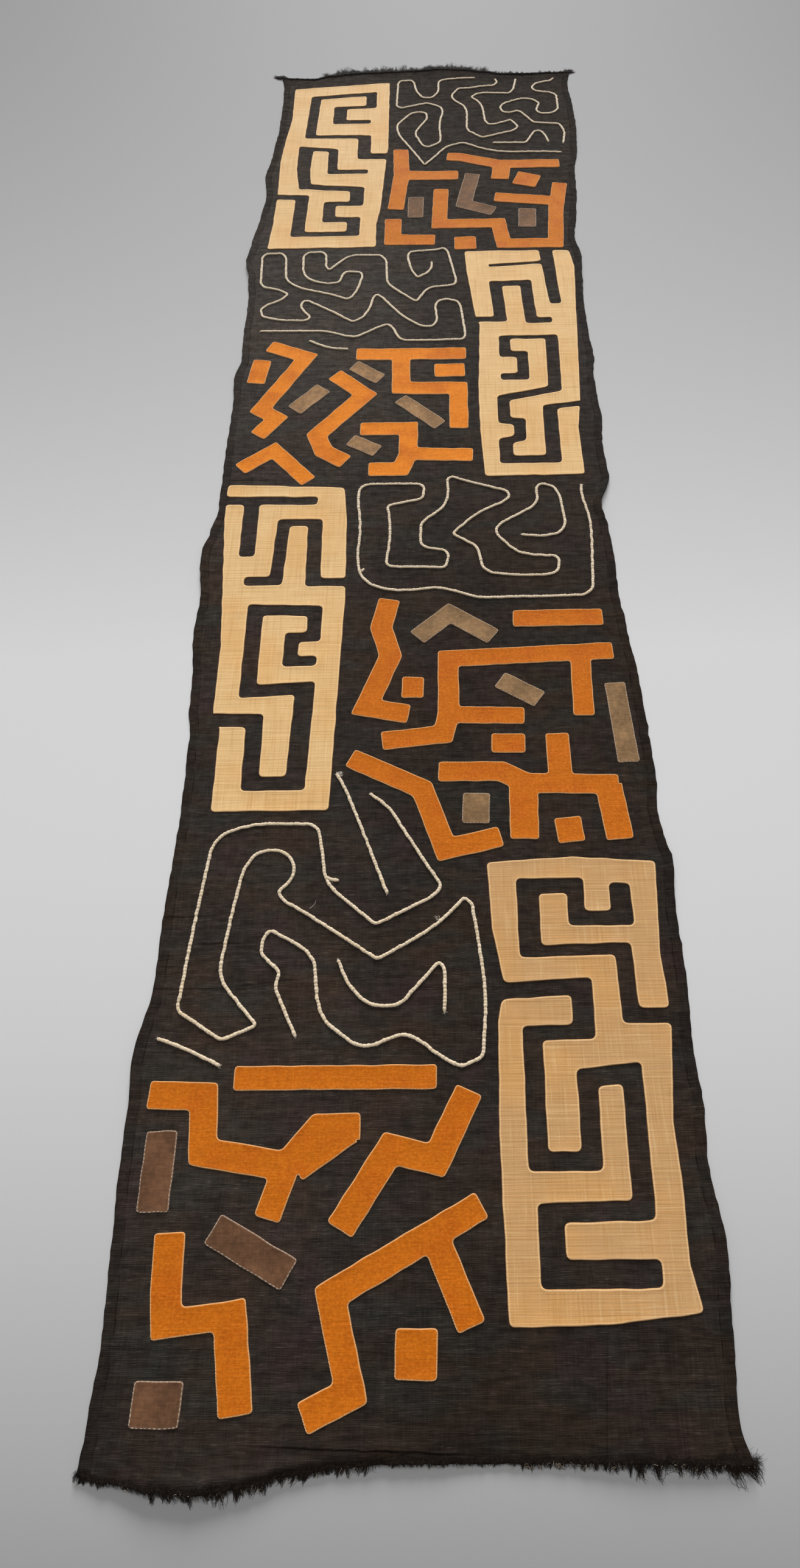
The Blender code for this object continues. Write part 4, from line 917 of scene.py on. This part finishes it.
# The couched cords: soft bundles of cream raffia about 5 mm thick, laid in winding lines between the cut pieces
# and tied down every 5 mm, so each bundle is pinched into a row of small pillows.
CORDS = {
    "cord_1_left": [
        (47, 286.1), (43.5, 286.2), (38.8, 285.2), (38.2, 284), (38.2, 279.5), (36.7, 277), (34.4, 277.2),
        (32.9, 280), (32.3, 284.4), (31.6, 285.3), (29.1, 285.1), (28.5, 284), (28.3, 273.4), (29.2, 272.5),
        (33, 273.8), (35.6, 274.6), (38.8, 272.6), (39.2, 270.5), (38.3, 265), (38.7, 258), (38.1, 256.8),
        (35.7, 255), (34.4, 256), (32.8, 260.7), (33.2, 262.7), (35.6, 267.6), (35.3, 270), (33.5, 270.7),
        (31.7, 270), (28.5, 265), (28.8, 261), (32.1, 254.2), (35, 247.8), (40.1, 255.5), (43.6, 256.8),
        (49, 253.6), (52.5, 252.6), (66, 252.3)],
    "cord_1_middle": [
        (51.9, 285.4), (52.4, 283.7), (51.5, 282.4), (48, 282), (46.3, 281.3), (43, 281.2), (41.3, 278),
        (41.7, 276), (44.3, 273), (44.9, 270), (44.7, 262.3), (46, 260.8), (48.2, 258.8), (51, 259.8),
        (55.6, 261.5), (56.6, 263.3), (55, 266.2), (51.6, 264.5), (49.8, 264.3), (49, 266), (48.6, 272),
        (47.8, 274.7), (46, 276.9), (47, 278.3), (49, 279), (55.2, 278.5), (56.2, 280.5), (56.9, 285.2)],
    "cord_1_right": [
        (66, 285.4), (65.3, 284.2), (63, 283.7), (61.4, 282.8), (60.5, 280.8), (61.4, 279.4), (65, 278.7),
        (66.3, 277.4), (66.3, 270.6), (64.8, 269), (62, 269), (61.1, 270.4), (62, 273.7), (60.6, 275.5),
        (58, 276.1), (53.6, 273.8), (52.6, 271.8), (53.4, 269.6), (55, 269.5), (56.9, 270.3), (57.8, 269.3),
        (60.3, 264.9), (63.5, 264.5), (66.2, 264.3), (67.3, 260.8), (66.6, 255.9)],
    "cord_1_arch": [
        (50.5, 256.5), (58.1, 256.2), (59.4, 259.1), (60.2, 261.1), (61.5, 261.4), (62.4, 260.1),
        (63.3, 256.6)],
    "cord_2_main": [
        (3, 189), (16, 188.7), (20, 187.1), (22, 186.8), (26, 189.7), (28, 190.8), (29, 189.6),
        (30.2, 186.4), (31.3, 185.6), (42.8, 185.7), (43.2, 187), (42.4, 196), (41.7, 197.8),
        (39.3, 198.6), (37.8, 197.8), (37.3, 196.4), (37.7, 191.6), (36.8, 189.9), (34.7, 189.9),
        (31, 193), (26.5, 199.6), (25.6, 200.5), (24.9, 199.4), (24.2, 195.5), (23, 192.9), (21, 191.6),
        (16, 195.5), (12, 198.5), (10.9, 198.5), (10.4, 196.6), (11.3, 195), (12.6, 193.2), (11.9, 192.1),
        (6.5, 192.3), (3, 193.7), (2.5, 196), (3.6, 197.4), (6.6, 199.1), (7.7, 200.9), (5.4, 202.6),
        (2.6, 203.2), (1.8, 204.5), (1.4, 213.5), (2.1, 214.8), (5.4, 214.9), (6.4, 213.4), (6.8, 206),
        (8.5, 203.9), (11, 202.3), (16, 200.8), (19.7, 198.9), (20.6, 199.7), (21.6, 202), (22.5, 206.8),
        (22, 208.1), (19.2, 208.2), (18.4, 207.2), (17.9, 204.7), (16, 204.2), (13, 204.8), (10.9, 206.5),
        (10.2, 208.5), (10, 213.8), (10.9, 215.1), (14, 215.1), (14.7, 213.9), (14.8, 210.2),
        (15.5, 208.8), (18.8, 213), (20.4, 213.9), (25.9, 213.8), (27.2, 212), (27.6, 204), (29.5, 201.8),
        (33.5, 197.9), (34.3, 199.2), (35.4, 201.6), (36.9, 202.7), (41.3, 203.2), (41.6, 204.8),
        (39.9, 215), (39.1, 216), (37.8, 215.4), (32, 214.8), (31.6, 213), (32.4, 208.6), (33.7, 205.8),
        (35.9, 207.5), (36.6, 209.2), (36.6, 211.2)],
    "cord_2_short": [(12.8, 185.8), (14.5, 184.6), (17, 183.4), (20.5, 183.1)],
    "cord_3_main": [
        (62.7, 145.2), (62.6, 142.5), (63.6, 137.3), (63.6, 133), (62.9, 121), (61.6, 119.7),
        (56, 119.5), (44, 119.4), (41.5, 120.5), (37.4, 121.9), (34, 121.2), (30, 121.2), (26.6, 122.4),
        (24.7, 124.8), (24.2, 129), (24.6, 135.5), (23.9, 141.5), (24, 144.8), (25.2, 145.9),
        (34.6, 145.9), (35.4, 144.8), (35, 142.2), (29, 140.6), (29.5, 137), (29.6, 132), (29, 127.2),
        (29.9, 126.4), (38.9, 126.1), (39.5, 128.8), (38.8, 130), (35.6, 130.6), (34.7, 131.7),
        (34.8, 136), (35.7, 137.3), (38.7, 140), (39.5, 142.7), (39.4, 147), (40.2, 147.5),
        (42.5, 146.5), (49.8, 143.8), (50.1, 142.3), (48.8, 141), (44.4, 138.6), (40.1, 133.8),
        (44.1, 130.8), (44.6, 129), (45, 126), (46.3, 124.8), (51, 124.1), (56, 124.2), (57.5, 125),
        (57.8, 127.6), (57, 128.4), (54, 128.5), (50.9, 129.3), (47.7, 133.3), (47.5, 134.8),
        (48.6, 136.2), (54.1, 140), (54.9, 141.5), (54.8, 144.6), (55.8, 145.6), (57.9, 144.8),
        (58.8, 142.5), (59.4, 135.6), (58.3, 133.6), (55.5, 132.9), (51.7, 133.3)],
    "cord_4_short": [(22.7, 85.8), (24, 83.6), (26.4, 77.5), (28.8, 71), (30.6, 66.2)],
    "cord_4_main": [
        (27.7, 82.4), (30.6, 80), (32.4, 76.8), (36, 70.6), (38, 67.4), (37, 65.9), (29.1, 61.7),
        (23.2, 66.9), (21.9, 69), (21.3, 73.5), (20.6, 76.6), (19.3, 77.4), (11.4, 77.5), (7.2, 76),
        (5.8, 74), (4.7, 62), (3.9, 49.9), (10, 45.9), (14.3, 47.8), (9.4, 53.5), (8.8, 55.6), (9.7, 64),
        (10.6, 70.3), (12.1, 72.8), (14.8, 73.4), (17, 72.3), (17.8, 69.9), (17, 68.1), (15.6, 66.7),
        (16.6, 65.3), (19.5, 63.6), (29.5, 56.7), (37, 61.2), (41.2, 65.6), (42.1, 64.6), (43.2, 56.5),
        (43.7, 51), (43.1, 43.4), (40.3, 42.2), (37.5, 43.7), (35, 45.8), (33, 46.6), (28.8, 44.9),
        (26.8, 45.2), (23, 48.2), (21.9, 50.6), (21.2, 56.6), (19.6, 58.5), (15, 61.1), (14.2, 60),
        (14, 57.7), (16.8, 55), (16.2, 53), (19.4, 46.2)],
    "cord_4_chevron": [
        (24.3, 56.7), (25.6, 53.4), (28, 50.8), (30, 50.2), (32.6, 50.4), (37.6, 56.3), (38.4, 55.2),
        (38.3, 49.3)],
    "cord_4_dash": [(1.8, 46.3), (6, 44.7), (10.2, 42.6)],
}
# Short spare ends that stick out beside a cord
SPARE_ENDS = {
    "cord_4_main": [(22.1, 68.9), (22.9, 68.6), (23.9, 68.4)],
    "cord_3_main": [(25.0, 125.4), (25.5, 126.1)],
}
# Half a cord's width in cm and its height in mm; the spacing of its rings in cm and the points in a ring
CORD_HALF, CORD_HIGH = 0.235, 2.7
CORD_STEP, CORD_SIDES = 0.12, 10
# How far from a corner a cord begins to turn, how much more at a slight bend, in cm, and the angle that is slight
CORD_TURN, SLACK_TURN, SLACK_ANGLE = 0.7, 3.0, 0.9
# Spacing of the ties in cm, the share of it that one pinches, and how much narrower and lower the cord is there
TIE_PITCH, TIE_SHARE, TIE_NARROWS, TIE_LOWERS = 0.5, 0.26, 0.20, 0.30
# How far the blunt end reaches and how far the cord wavers sideways, in cm, and how unevenly thick it is
BLUNT_END, CORD_WAVER, CORD_UNEVEN = 0.28, 0.035, 0.10


def laid_line(route):
    """A cord's line through a route in even steps: straight runs, tight at sharp turns, easy at slight ones."""
    places = [Vector(place) for place in route]
    line = [places[0]]
    for before, place, after in zip(places, places[1:], places[2:]):
        angle = (place - before).angle(after - place, 0.0)
        ease = CORD_TURN + SLACK_TURN * max(0.0, 1 - angle / SLACK_ANGLE)
        cut_in = min(ease, 0.49 * (place - before).length, 0.49 * (after - place).length)
        start = place + (before - place).normalized() * cut_in
        end = place + (after - place).normalized() * cut_in
        for share in (0, 0.2, 0.4, 0.6, 0.8, 1):
            line.append(start.lerp(place, share).lerp(place.lerp(end, share), share))
    line = np.array([tuple(place) for place in line + [places[-1]]])
    walked = np.concatenate([[0], np.cumsum(np.linalg.norm(np.diff(line, axis=0), axis=1))])
    at = np.linspace(0, walked[-1], max(8, round(walked[-1] / CORD_STEP)))
    return np.stack([np.interp(at, walked, line[:, 0]), np.interp(at, walked, line[:, 1])], axis=1), at


def cord_rings(route, seed):
    """A couched cord's points, ring by ring, and its lay: place along, place around, nearness of a tie."""
    line, at = laid_line(route)
    way = np.gradient(line, axis=0)
    way /= np.linalg.norm(way, axis=1)[:, None]
    side = np.stack([-way[:, 1], way[:, 0]], axis=1)
    beat = at / TIE_PITCH + 0.25 * cockles(at, 0 * at, 3.0, seed)
    pinch = np.clip(1 - np.abs((beat + 0.5) % 1 - 0.5) / TIE_SHARE, 0, 1) ** 1.3
    from_end = np.minimum(at, at[-1] - at)
    blunt = np.sqrt(np.clip(1 - (1 - np.clip(from_end / BLUNT_END, 0, 1)) ** 2, 0.02, 1))
    uneven = 1 + CORD_UNEVEN * cockles(at, 0 * at, 0.9, seed + 1)
    half = CORD_HALF * (1.04 - TIE_NARROWS * pinch) * blunt * uneven
    high = CORD_HIGH * (1.0 - TIE_LOWERS * pinch) * blunt * uneven
    line = line + side * (CORD_WAVER * cockles(at, 0 * at, 1.6, seed + 2))[:, None]
    turn = np.arange(CORD_SIDES) / CORD_SIDES * 2 * math.pi - math.pi / 2
    spread, up = np.cos(turn), 0.5 + 0.5 * np.sin(turn)
    up = np.where(up < 0.5, up * 0.75, up)
    spot = line[:, None] + side[:, None] * (half[:, None] * spread)[..., None]
    base = ground_top(line[:, 0], line[:, 1])
    points = on_chart(spot[..., 0], spot[..., 1], base[:, None] + (high[:, None] * up - 0.15) * MM)
    lay = np.stack([np.repeat(at, CORD_SIDES) * CM, np.tile(np.abs(turn + math.pi / 2), len(line)) * 0.0025,
                    np.repeat(pinch, CORD_SIDES)], axis=1)
    return points, lay


def cord_mesh(name, routes, finish, seed):
    """One couched cord and its spare ends."""
    points, lays, faces, start = [], [], [], 0
    for route in routes:
        rings, lay = cord_rings(route, seed)
        first = (np.arange(len(rings) - 1)[:, None] * CORD_SIDES + start).repeat(CORD_SIDES, axis=1)
        corner = (first + np.arange(CORD_SIDES)).ravel()
        beside = (first + (np.arange(CORD_SIDES) + 1) % CORD_SIDES).ravel()
        faces += np.stack([corner, corner + CORD_SIDES, beside + CORD_SIDES, beside], axis=1).tolist()
        end = start + len(lay)
        faces += [list(range(start, start + CORD_SIDES)), list(range(end - CORD_SIDES, end))[::-1]]
        points.append(rings.reshape(-1, 3))
        lays.append(lay)
        start = end
    piece = new_piece(name, np.concatenate(points), faces, finish)
    kept = piece.data.attributes.new("lay", "FLOAT_VECTOR", "POINT")
    kept.data.foreach_set("vector", np.concatenate(lays).astype(np.float32).ravel())
    return piece


def strand_mesh(name, tracks, halves, shades, finish):
    """Fine flat strands along tracks of points, higher along their middle; each keeps its own shade."""
    way = np.gradient(tracks, axis=1)
    side = np.stack([-way[..., 1], way[..., 0], 0 * way[..., 0]], axis=-1)
    side *= halves[..., None] / (np.linalg.norm(side, axis=-1)[..., None] + 1e-9)
    middle = tracks + np.stack([0 * halves, 0 * halves, 0.8 * halves], axis=-1)
    points = np.stack([tracks - side, middle, tracks + side], axis=2)
    count, steps = tracks.shape[:2]
    corner = np.array([(row * 3 + k, row * 3 + k + 3, row * 3 + k + 4, row * 3 + k + 1)
                       for row in range(steps - 1) for k in range(2)])
    faces = (np.arange(count)[:, None, None] * steps * 3 + corner).reshape(-1, 4)
    piece = new_piece(name, points, faces, finish)
    kept = piece.data.attributes.new("shade", "FLOAT", "POINT")
    kept.data.foreach_set("value", np.repeat(shades, steps * 3).astype(np.float32))
    return piece


def curved_tracks(root, tip, bulge, steps):
    """Places in the chart along strands that leave root for tip and bow sideways."""
    share = np.linspace(0, 1, steps)[None, :, None]
    chord = tip - root
    aside = np.stack([-chord[:, 1], chord[:, 0]], axis=1)
    return root[:, None] + chord[:, None] * share + (bulge[:, None] * aside)[:, None] * np.sin(math.pi * share)


def cord_finish():
    finish, shader, place = new_finish("cream_cord", 0.7, 0.35)
    lay = place.node("ShaderNodeAttribute", {"attribute_name": "lay"}, {}, "Vector")
    split = lay.node("ShaderNodeSeparateXYZ", {}, {0: lay}, 2)
    fibres = strips(lay, 160, 2600, 61, 3.0)
    base = blended(rising(fibres, 0.35, 0.65), tuned("bfa988"), tuned("ead8bd"))
    base = blended(rising(strips(place, 25, 25, 62), 0.5, 0.75) * 0.4, base, tuned("cfb489"))
    # Darker at each tie: painted shade in the pinched gaps between the pillows
    base = blended(rising(split, 0.45, 0.95) * 0.45, base, tuned("8f7a62"))
    feed(base, shader, "Base Color")
    feed(raised(fibres, 0.0005), shader, "Normal")
    return finish


def tuft_finish():
    finish, shader, place = new_finish("cord_fibres", 0.75, 0.2)
    shade = place.node("ShaderNodeAttribute", {"attribute_name": "shade"}, {}, "Fac")
    feed(blended(shade, tuned("b6aca2"), tuned("dcd2c4")), shader, "Base Color")
    return finish


# Small balls of loose fibre: middle, spread in cm, how many fibres
LOOSE_TUFTS = [((23.2, 85.7), 0.34, 60), ((37.4, 62.6), 0.3, 14), ((22.9, 68.4), 0.3, 10)]
STRAY_FIBRE = ((20.1, 64.2), (20.9, 65.4))
END_FIBRES, STRAND_STEPS = 4, 5


def tufts_mesh(name, finish):
    """The few fibres that come loose at each cord's ends, and a stray one on the ground."""
    chance = np.random.default_rng(390)
    roots, tips = [], []
    for route in CORDS.values():
        for place, before in ((route[0], route[1]), (route[-1], route[-2])):
            place, before = np.array(place), np.array(before)
            out = (place - before) / np.linalg.norm(place - before)
            for _ in range(END_FIBRES):
                turn = chance.normal(0, 0.6)
                cos, sin = math.cos(turn), math.sin(turn)
                way = np.array([out[0] * cos - out[1] * sin, out[0] * sin + out[1] * cos])
                roots.append(place - 0.15 * out + chance.uniform(-0.12, 0.12, 2))
                tips.append(roots[-1] + way * chance.uniform(0.2, 0.42))
    for middle, spread, count in LOOSE_TUFTS:
        for _ in range(count):
            roots.append(np.array(middle) + chance.uniform(-spread, spread, 2))
            tips.append(roots[-1] + chance.uniform(-spread, spread, 2))
    roots.append(np.array(STRAY_FIBRE[0]))
    tips.append(np.array(STRAY_FIBRE[1]))
    root, tip = np.array(roots), np.array(tips)
    line = curved_tracks(root, tip, chance.normal(0, 0.2, len(root)), STRAND_STEPS)
    u, v = line[..., 0], line[..., 1]
    share = np.linspace(0, 1, STRAND_STEPS)
    height = ground_top(u, v) + (0.9 - 0.6 * share) * MM
    halves = 0.0003 * chance.uniform(0.6, 1.2, len(root))[:, None] * (1 - 0.7 * share)
    shades = chance.uniform(0, 1, len(root))
    return strand_mesh(name, on_chart(u, v, height), halves, shades, finish)


CORD_SEED = 300
cream = cord_finish()
for number, (node, route) in enumerate(CORDS.items()):
    routes = [route] + ([SPARE_ENDS[node]] if node in SPARE_ENDS else [])
    cord = cord_mesh(f"{node}_couched", routes, cream, CORD_SEED + 5 * number)
    dressed(cord, node)
dressed(tufts_mesh("cord_tufts", tuft_finish()))

# The frayed ends: beyond the last weft strips the dark warp is loose and matted. Its strands cling together
# in short, uneven teeth over a mat of crossing fibres, with a tuft at each corner and a few pale fibre ends.
Fray = namedtuple("Fray", "start end shortest longest lean teeth mat pale")
# Chart u from and to, tooth lengths in cm, lean in radians, then teeth, mat strands and pale ends per cm
NEAR_FRAY = [
    Fray(-0.5, 1.0, 0.5, 0.9, -0.6, 6.0, 70, 0.5), Fray(1.0, 7.5, 0.1, 0.6, -0.1, 2.0, 40, 1.5),
    Fray(7.5, 20.0, 0.4, 1.7, 0.05, 2.0, 60, 3.5), Fray(20.0, 31.0, 0.3, 1.2, -0.45, 2.8, 44, 2.0),
    Fray(31.0, 46.0, 0.05, 0.35, 0.1, 2.0, 34, 0.6), Fray(46.0, 58.0, 0.3, 1.4, 0.2, 2.0, 64, 5.5),
    Fray(58.0, 67.0, 0.5, 2.3, 0.35, 2.2, 76, 6.0), Fray(67.0, 70.2, 1.1, 3.4, 1.35, 7.0, 150, 3.5),
]
FAR_FRAY = [
    Fray(-0.5, 1.6, 1.4, 2.6, -1.1, 9.0, 90, 0.0), Fray(1.6, 11.0, 0.3, 0.8, 0.0, 2.4, 60, 0.2),
    Fray(11.0, 30.0, 1.5, 4.4, -0.25, 2.6, 110, 0.3), Fray(30.0, 50.0, 1.3, 4.2, 0.15, 2.6, 110, 0.3),
    Fray(50.0, 57.0, 0.7, 2.2, 0.2, 2.2, 80, 0.2), Fray(57.0, 68.4, 0.5, 1.6, 0.2, 2.2, 80, 0.2),
    Fray(68.4, 70.3, 1.4, 2.8, 1.0, 9.0, 90, 0.0),
]
TOOTH_STRANDS = 15
# Widths in cm of strands in a tooth, in the mat and of pale ends
TOOTH_WIDTH, MAT_WIDTH, PALE_WIDTH = 0.055, 0.035, 0.028
# How far from the edge a strand has come down to the floor, in cm
STRAND_DROP = 0.7
# The last place across where the edge is asked for, in cm
LAST_U = 69.5


def heading(turn, reach):
    """Steps in the chart, across and outward, for turns away from straight out."""
    return np.stack([np.sin(turn) * reach, np.cos(turn) * reach], axis=1)


def fringe_mesh(name, frays, edge, outward, finish, seed):
    """The loose strands of one end: teeth whose strands meet at a tip, a mat of short ones, pale fibre ends."""
    chance = np.random.default_rng(seed)
    roots, tips, bulges, widths, shades = [], [], [], [], []

    def lay_down(root, tip, bulge, width, shade):
        for line, values in zip((roots, tips, bulges, widths, shades), (root, tip, bulge, width, shade)):
            line.append(values)

    def scattered(fray, count, inner, outer):
        spread_u = chance.uniform(fray.start, fray.end, count)
        return np.stack([spread_u, chance.uniform(inner, outer, count)], axis=1)

    for fray in frays:
        span = fray.end - fray.start
        teeth = round(span * fray.teeth)
        middle = np.repeat(chance.uniform(fray.start, fray.end, teeth), TOOTH_STRANDS)
        lengths = fray.shortest + (fray.longest - fray.shortest) * chance.beta(1.2, 2.0, teeth)
        length = np.repeat(lengths, TOOTH_STRANDS)
        count = len(middle)
        turn = np.repeat(chance.normal(fray.lean, 0.4, teeth), TOOTH_STRANDS) + chance.normal(0, 0.12, count)
        root_u, root_v = middle + chance.uniform(-0.30, 0.30, count), chance.uniform(-0.4, -0.1, count)
        reach = length * chance.uniform(0.6, 1.05, count)
        tip = np.stack([middle, 0 * middle], axis=1) + heading(turn, reach) + chance.normal(0, 0.06, (count, 2))
        lay_down(np.stack([root_u, root_v], axis=1), tip, chance.normal(0, 0.12, count),
                 TOOTH_WIDTH * chance.uniform(0.6, 1.3, count), chance.uniform(0, 0.9, count))

        count = round(span * fray.mat)
        root = scattered(fray, count, -0.6, 0.05)
        turn = chance.normal(fray.lean, 1.0, count)
        reach = chance.uniform(0.15, 0.3 + 0.4 * fray.longest, count)
        lay_down(root, root + heading(turn, reach), chance.normal(0, 0.3, count),
                 MAT_WIDTH * chance.uniform(0.5, 1.4, count), chance.uniform(0, 1, count) ** 2)

        count = round(span * fray.pale)
        root = scattered(fray, count, -0.1, 0.35)
        turn = chance.normal(fray.lean, 0.9, count)
        reach = chance.uniform(0.2, 0.6, count)
        lay_down(root, root + heading(turn, reach), chance.normal(0, 0.45, count),
                 PALE_WIDTH * chance.uniform(0.6, 1.3, count), chance.uniform(1.5, 2.0, count))
    root, tip, bulge, width, shade = map(np.concatenate, (roots, tips, bulges, widths, shades))
    line = curved_tracks(root, tip, bulge, STRAND_STEPS)
    u, out = line[..., 0], line[..., 1]
    edge_v = edge(np.clip(u, 0, LAST_U))
    v = edge_v + outward * out
    aside = np.maximum(0, np.maximum(left_edge(v) - u, u - right_edge(v)))
    beyond = np.maximum(np.maximum(out, 0), aside)
    inner_u = np.clip(u, left_edge(v), right_edge(v))
    rest = ground_top(inner_u, np.where(out > 0, edge_v, v))
    share = np.linspace(0, 1, STRAND_STEPS)
    lift = chance.uniform(0.1, 0.9, len(root))[:, None]
    height = rest * np.clip(1 - beyond / STRAND_DROP, 0, 1) ** 2 + (0.25 + lift * (1 - 0.8 * share)) * MM
    halves = width[:, None] / 2 * CM * (1 - 0.7 * share)
    return strand_mesh(name, on_chart(u, v, height), halves, shade, finish)


def fray_finish():
    finish, shader, place = new_finish("frayed_raffia", 0.85, 0.05)
    shader.inputs["Specular IOR Level"].default_value = 0.03
    shade = place.node("ShaderNodeAttribute", {"attribute_name": "shade"}, {}, "Fac")
    base = blended(rising(shade, 0.1, 0.95), tuned("120e0c"), tuned("2c231c"))
    base = blended(rising(shade, 1.2, 1.9), base, tuned("c9b9a2"))
    feed(scaled(base, 0.8 + 0.4 * strips(place, 500, 500, 71)), shader, "Base Color")
    return finish


FRAY_SEED = 400
frayed = fray_finish()
for node, frays, edge, outward in (
    ("fringe_near", NEAR_FRAY, near_edge, -1),
    ("fringe_far", FAR_FRAY, far_edge, 1),
):
    strands = fringe_mesh(f"{node}_strands", frays, edge, outward, frayed, FRAY_SEED + outward)
    dressed(strands, node)

# The floor and the light: a plain pale sheet under the cloth whose grey is a painted pool of light, brightest
# beside the cloth's nearer half, one wide soft lamp over the middle, and a soft slanting light from the far end
# that brings out the weave and the edges.
FLOOR_SIDE, FLOOR_NEAR, FLOOR_FAR = 6, -6, 8
floor_mesh = bpy.data.meshes.new("floor")
floor_corners = [(-FLOOR_SIDE, FLOOR_NEAR, 0), (FLOOR_SIDE, FLOOR_NEAR, 0),
                 (FLOOR_SIDE, FLOOR_FAR, 0), (-FLOOR_SIDE, FLOOR_FAR, 0)]
floor_mesh.from_pydata(floor_corners, [], [(0, 1, 2, 3)])
floor = bpy.data.objects.new("floor", floor_mesh)
bpy.context.scene.collection.objects.link(floor)
floor_finish, floor_shader, floor_place = new_finish("pale_floor", 0.7, 0.0)
floor_along = apart(floor_place)[1]

# Its grey is a painted pool of light: full between two places along the cloth, in metres, easing to a share of it
# beyond and before them
FULL_FROM, FULL_TO = -0.6, -0.35
FAR_SHARE, NEAR_SHARE, FAR_EASE, NEAR_EASE = 0.33, 0.30, 0.449, 0.575
beyond = floor_along.sum("MAXIMUM", floor_along - FULL_TO, 0.0)
before = floor_along.sum("MAXIMUM", FULL_FROM - floor_along, 0.0)
floor_light_pool = FAR_SHARE + (1 - FAR_SHARE) * beyond.sum("POWER", FAR_EASE, beyond)
floor_light_pool = floor_light_pool.sum("MAXIMUM", floor_light_pool * (1 - NEAR_EASE * before * before), NEAR_SHARE)
feed(scaled(tuned("c7c7c7"), floor_light_pool), floor_shader, "Base Color")
floor_mesh.materials.append(floor_finish)

lamp_data = bpy.data.lights.new("soft_lamp", "AREA")
lamp_data.shape = "RECTANGLE"
lamp_data.size, lamp_data.size_y = 3.0, 3.0
lamp_data.energy = 88
lamp = bpy.data.objects.new("soft_lamp", lamp_data)
lamp.location = (0.0, 0.2, 5.0)
bpy.context.scene.collection.objects.link(lamp)

slanting_data = bpy.data.lights.new("slanting_light", "SUN")
slanting_data.energy = 4.6
slanting_data.angle = math.radians(20)
slanting = bpy.data.objects.new("slanting_light", slanting_data)
slanting.rotation_euler = (math.radians(-72), 0.0, 0.0)
bpy.context.scene.collection.objects.link(slanting)

world = bpy.data.worlds.new("studio")
world.use_nodes = True
world.node_tree.nodes["Background"].inputs["Color"].default_value = (1.0, 1.0, 1.0, 1.0)
world.node_tree.nodes["Background"].inputs["Strength"].default_value = 0.36
bpy.context.scene.world = world
bpy.context.scene.view_settings.view_transform = "Standard"

# The camera stands at the near end and looks down along the cloth, as the photo was taken. The photo is cropped
# at one side, which the small sideways shift stands for.
camera_data = bpy.data.cameras.new("camera")
camera_data.sensor_width = 36.0
camera_data.lens = 25.1098
camera_data.shift_x = -0.030597
camera = bpy.data.objects.new("camera", camera_data)
camera.location = (0.04979, -1.43269, 1.34560)
camera.rotation_euler = (math.radians(32.0397), math.radians(0.6932), math.radians(-0.4394))
bpy.context.scene.collection.objects.link(camera)
bpy.context.scene.camera = camera
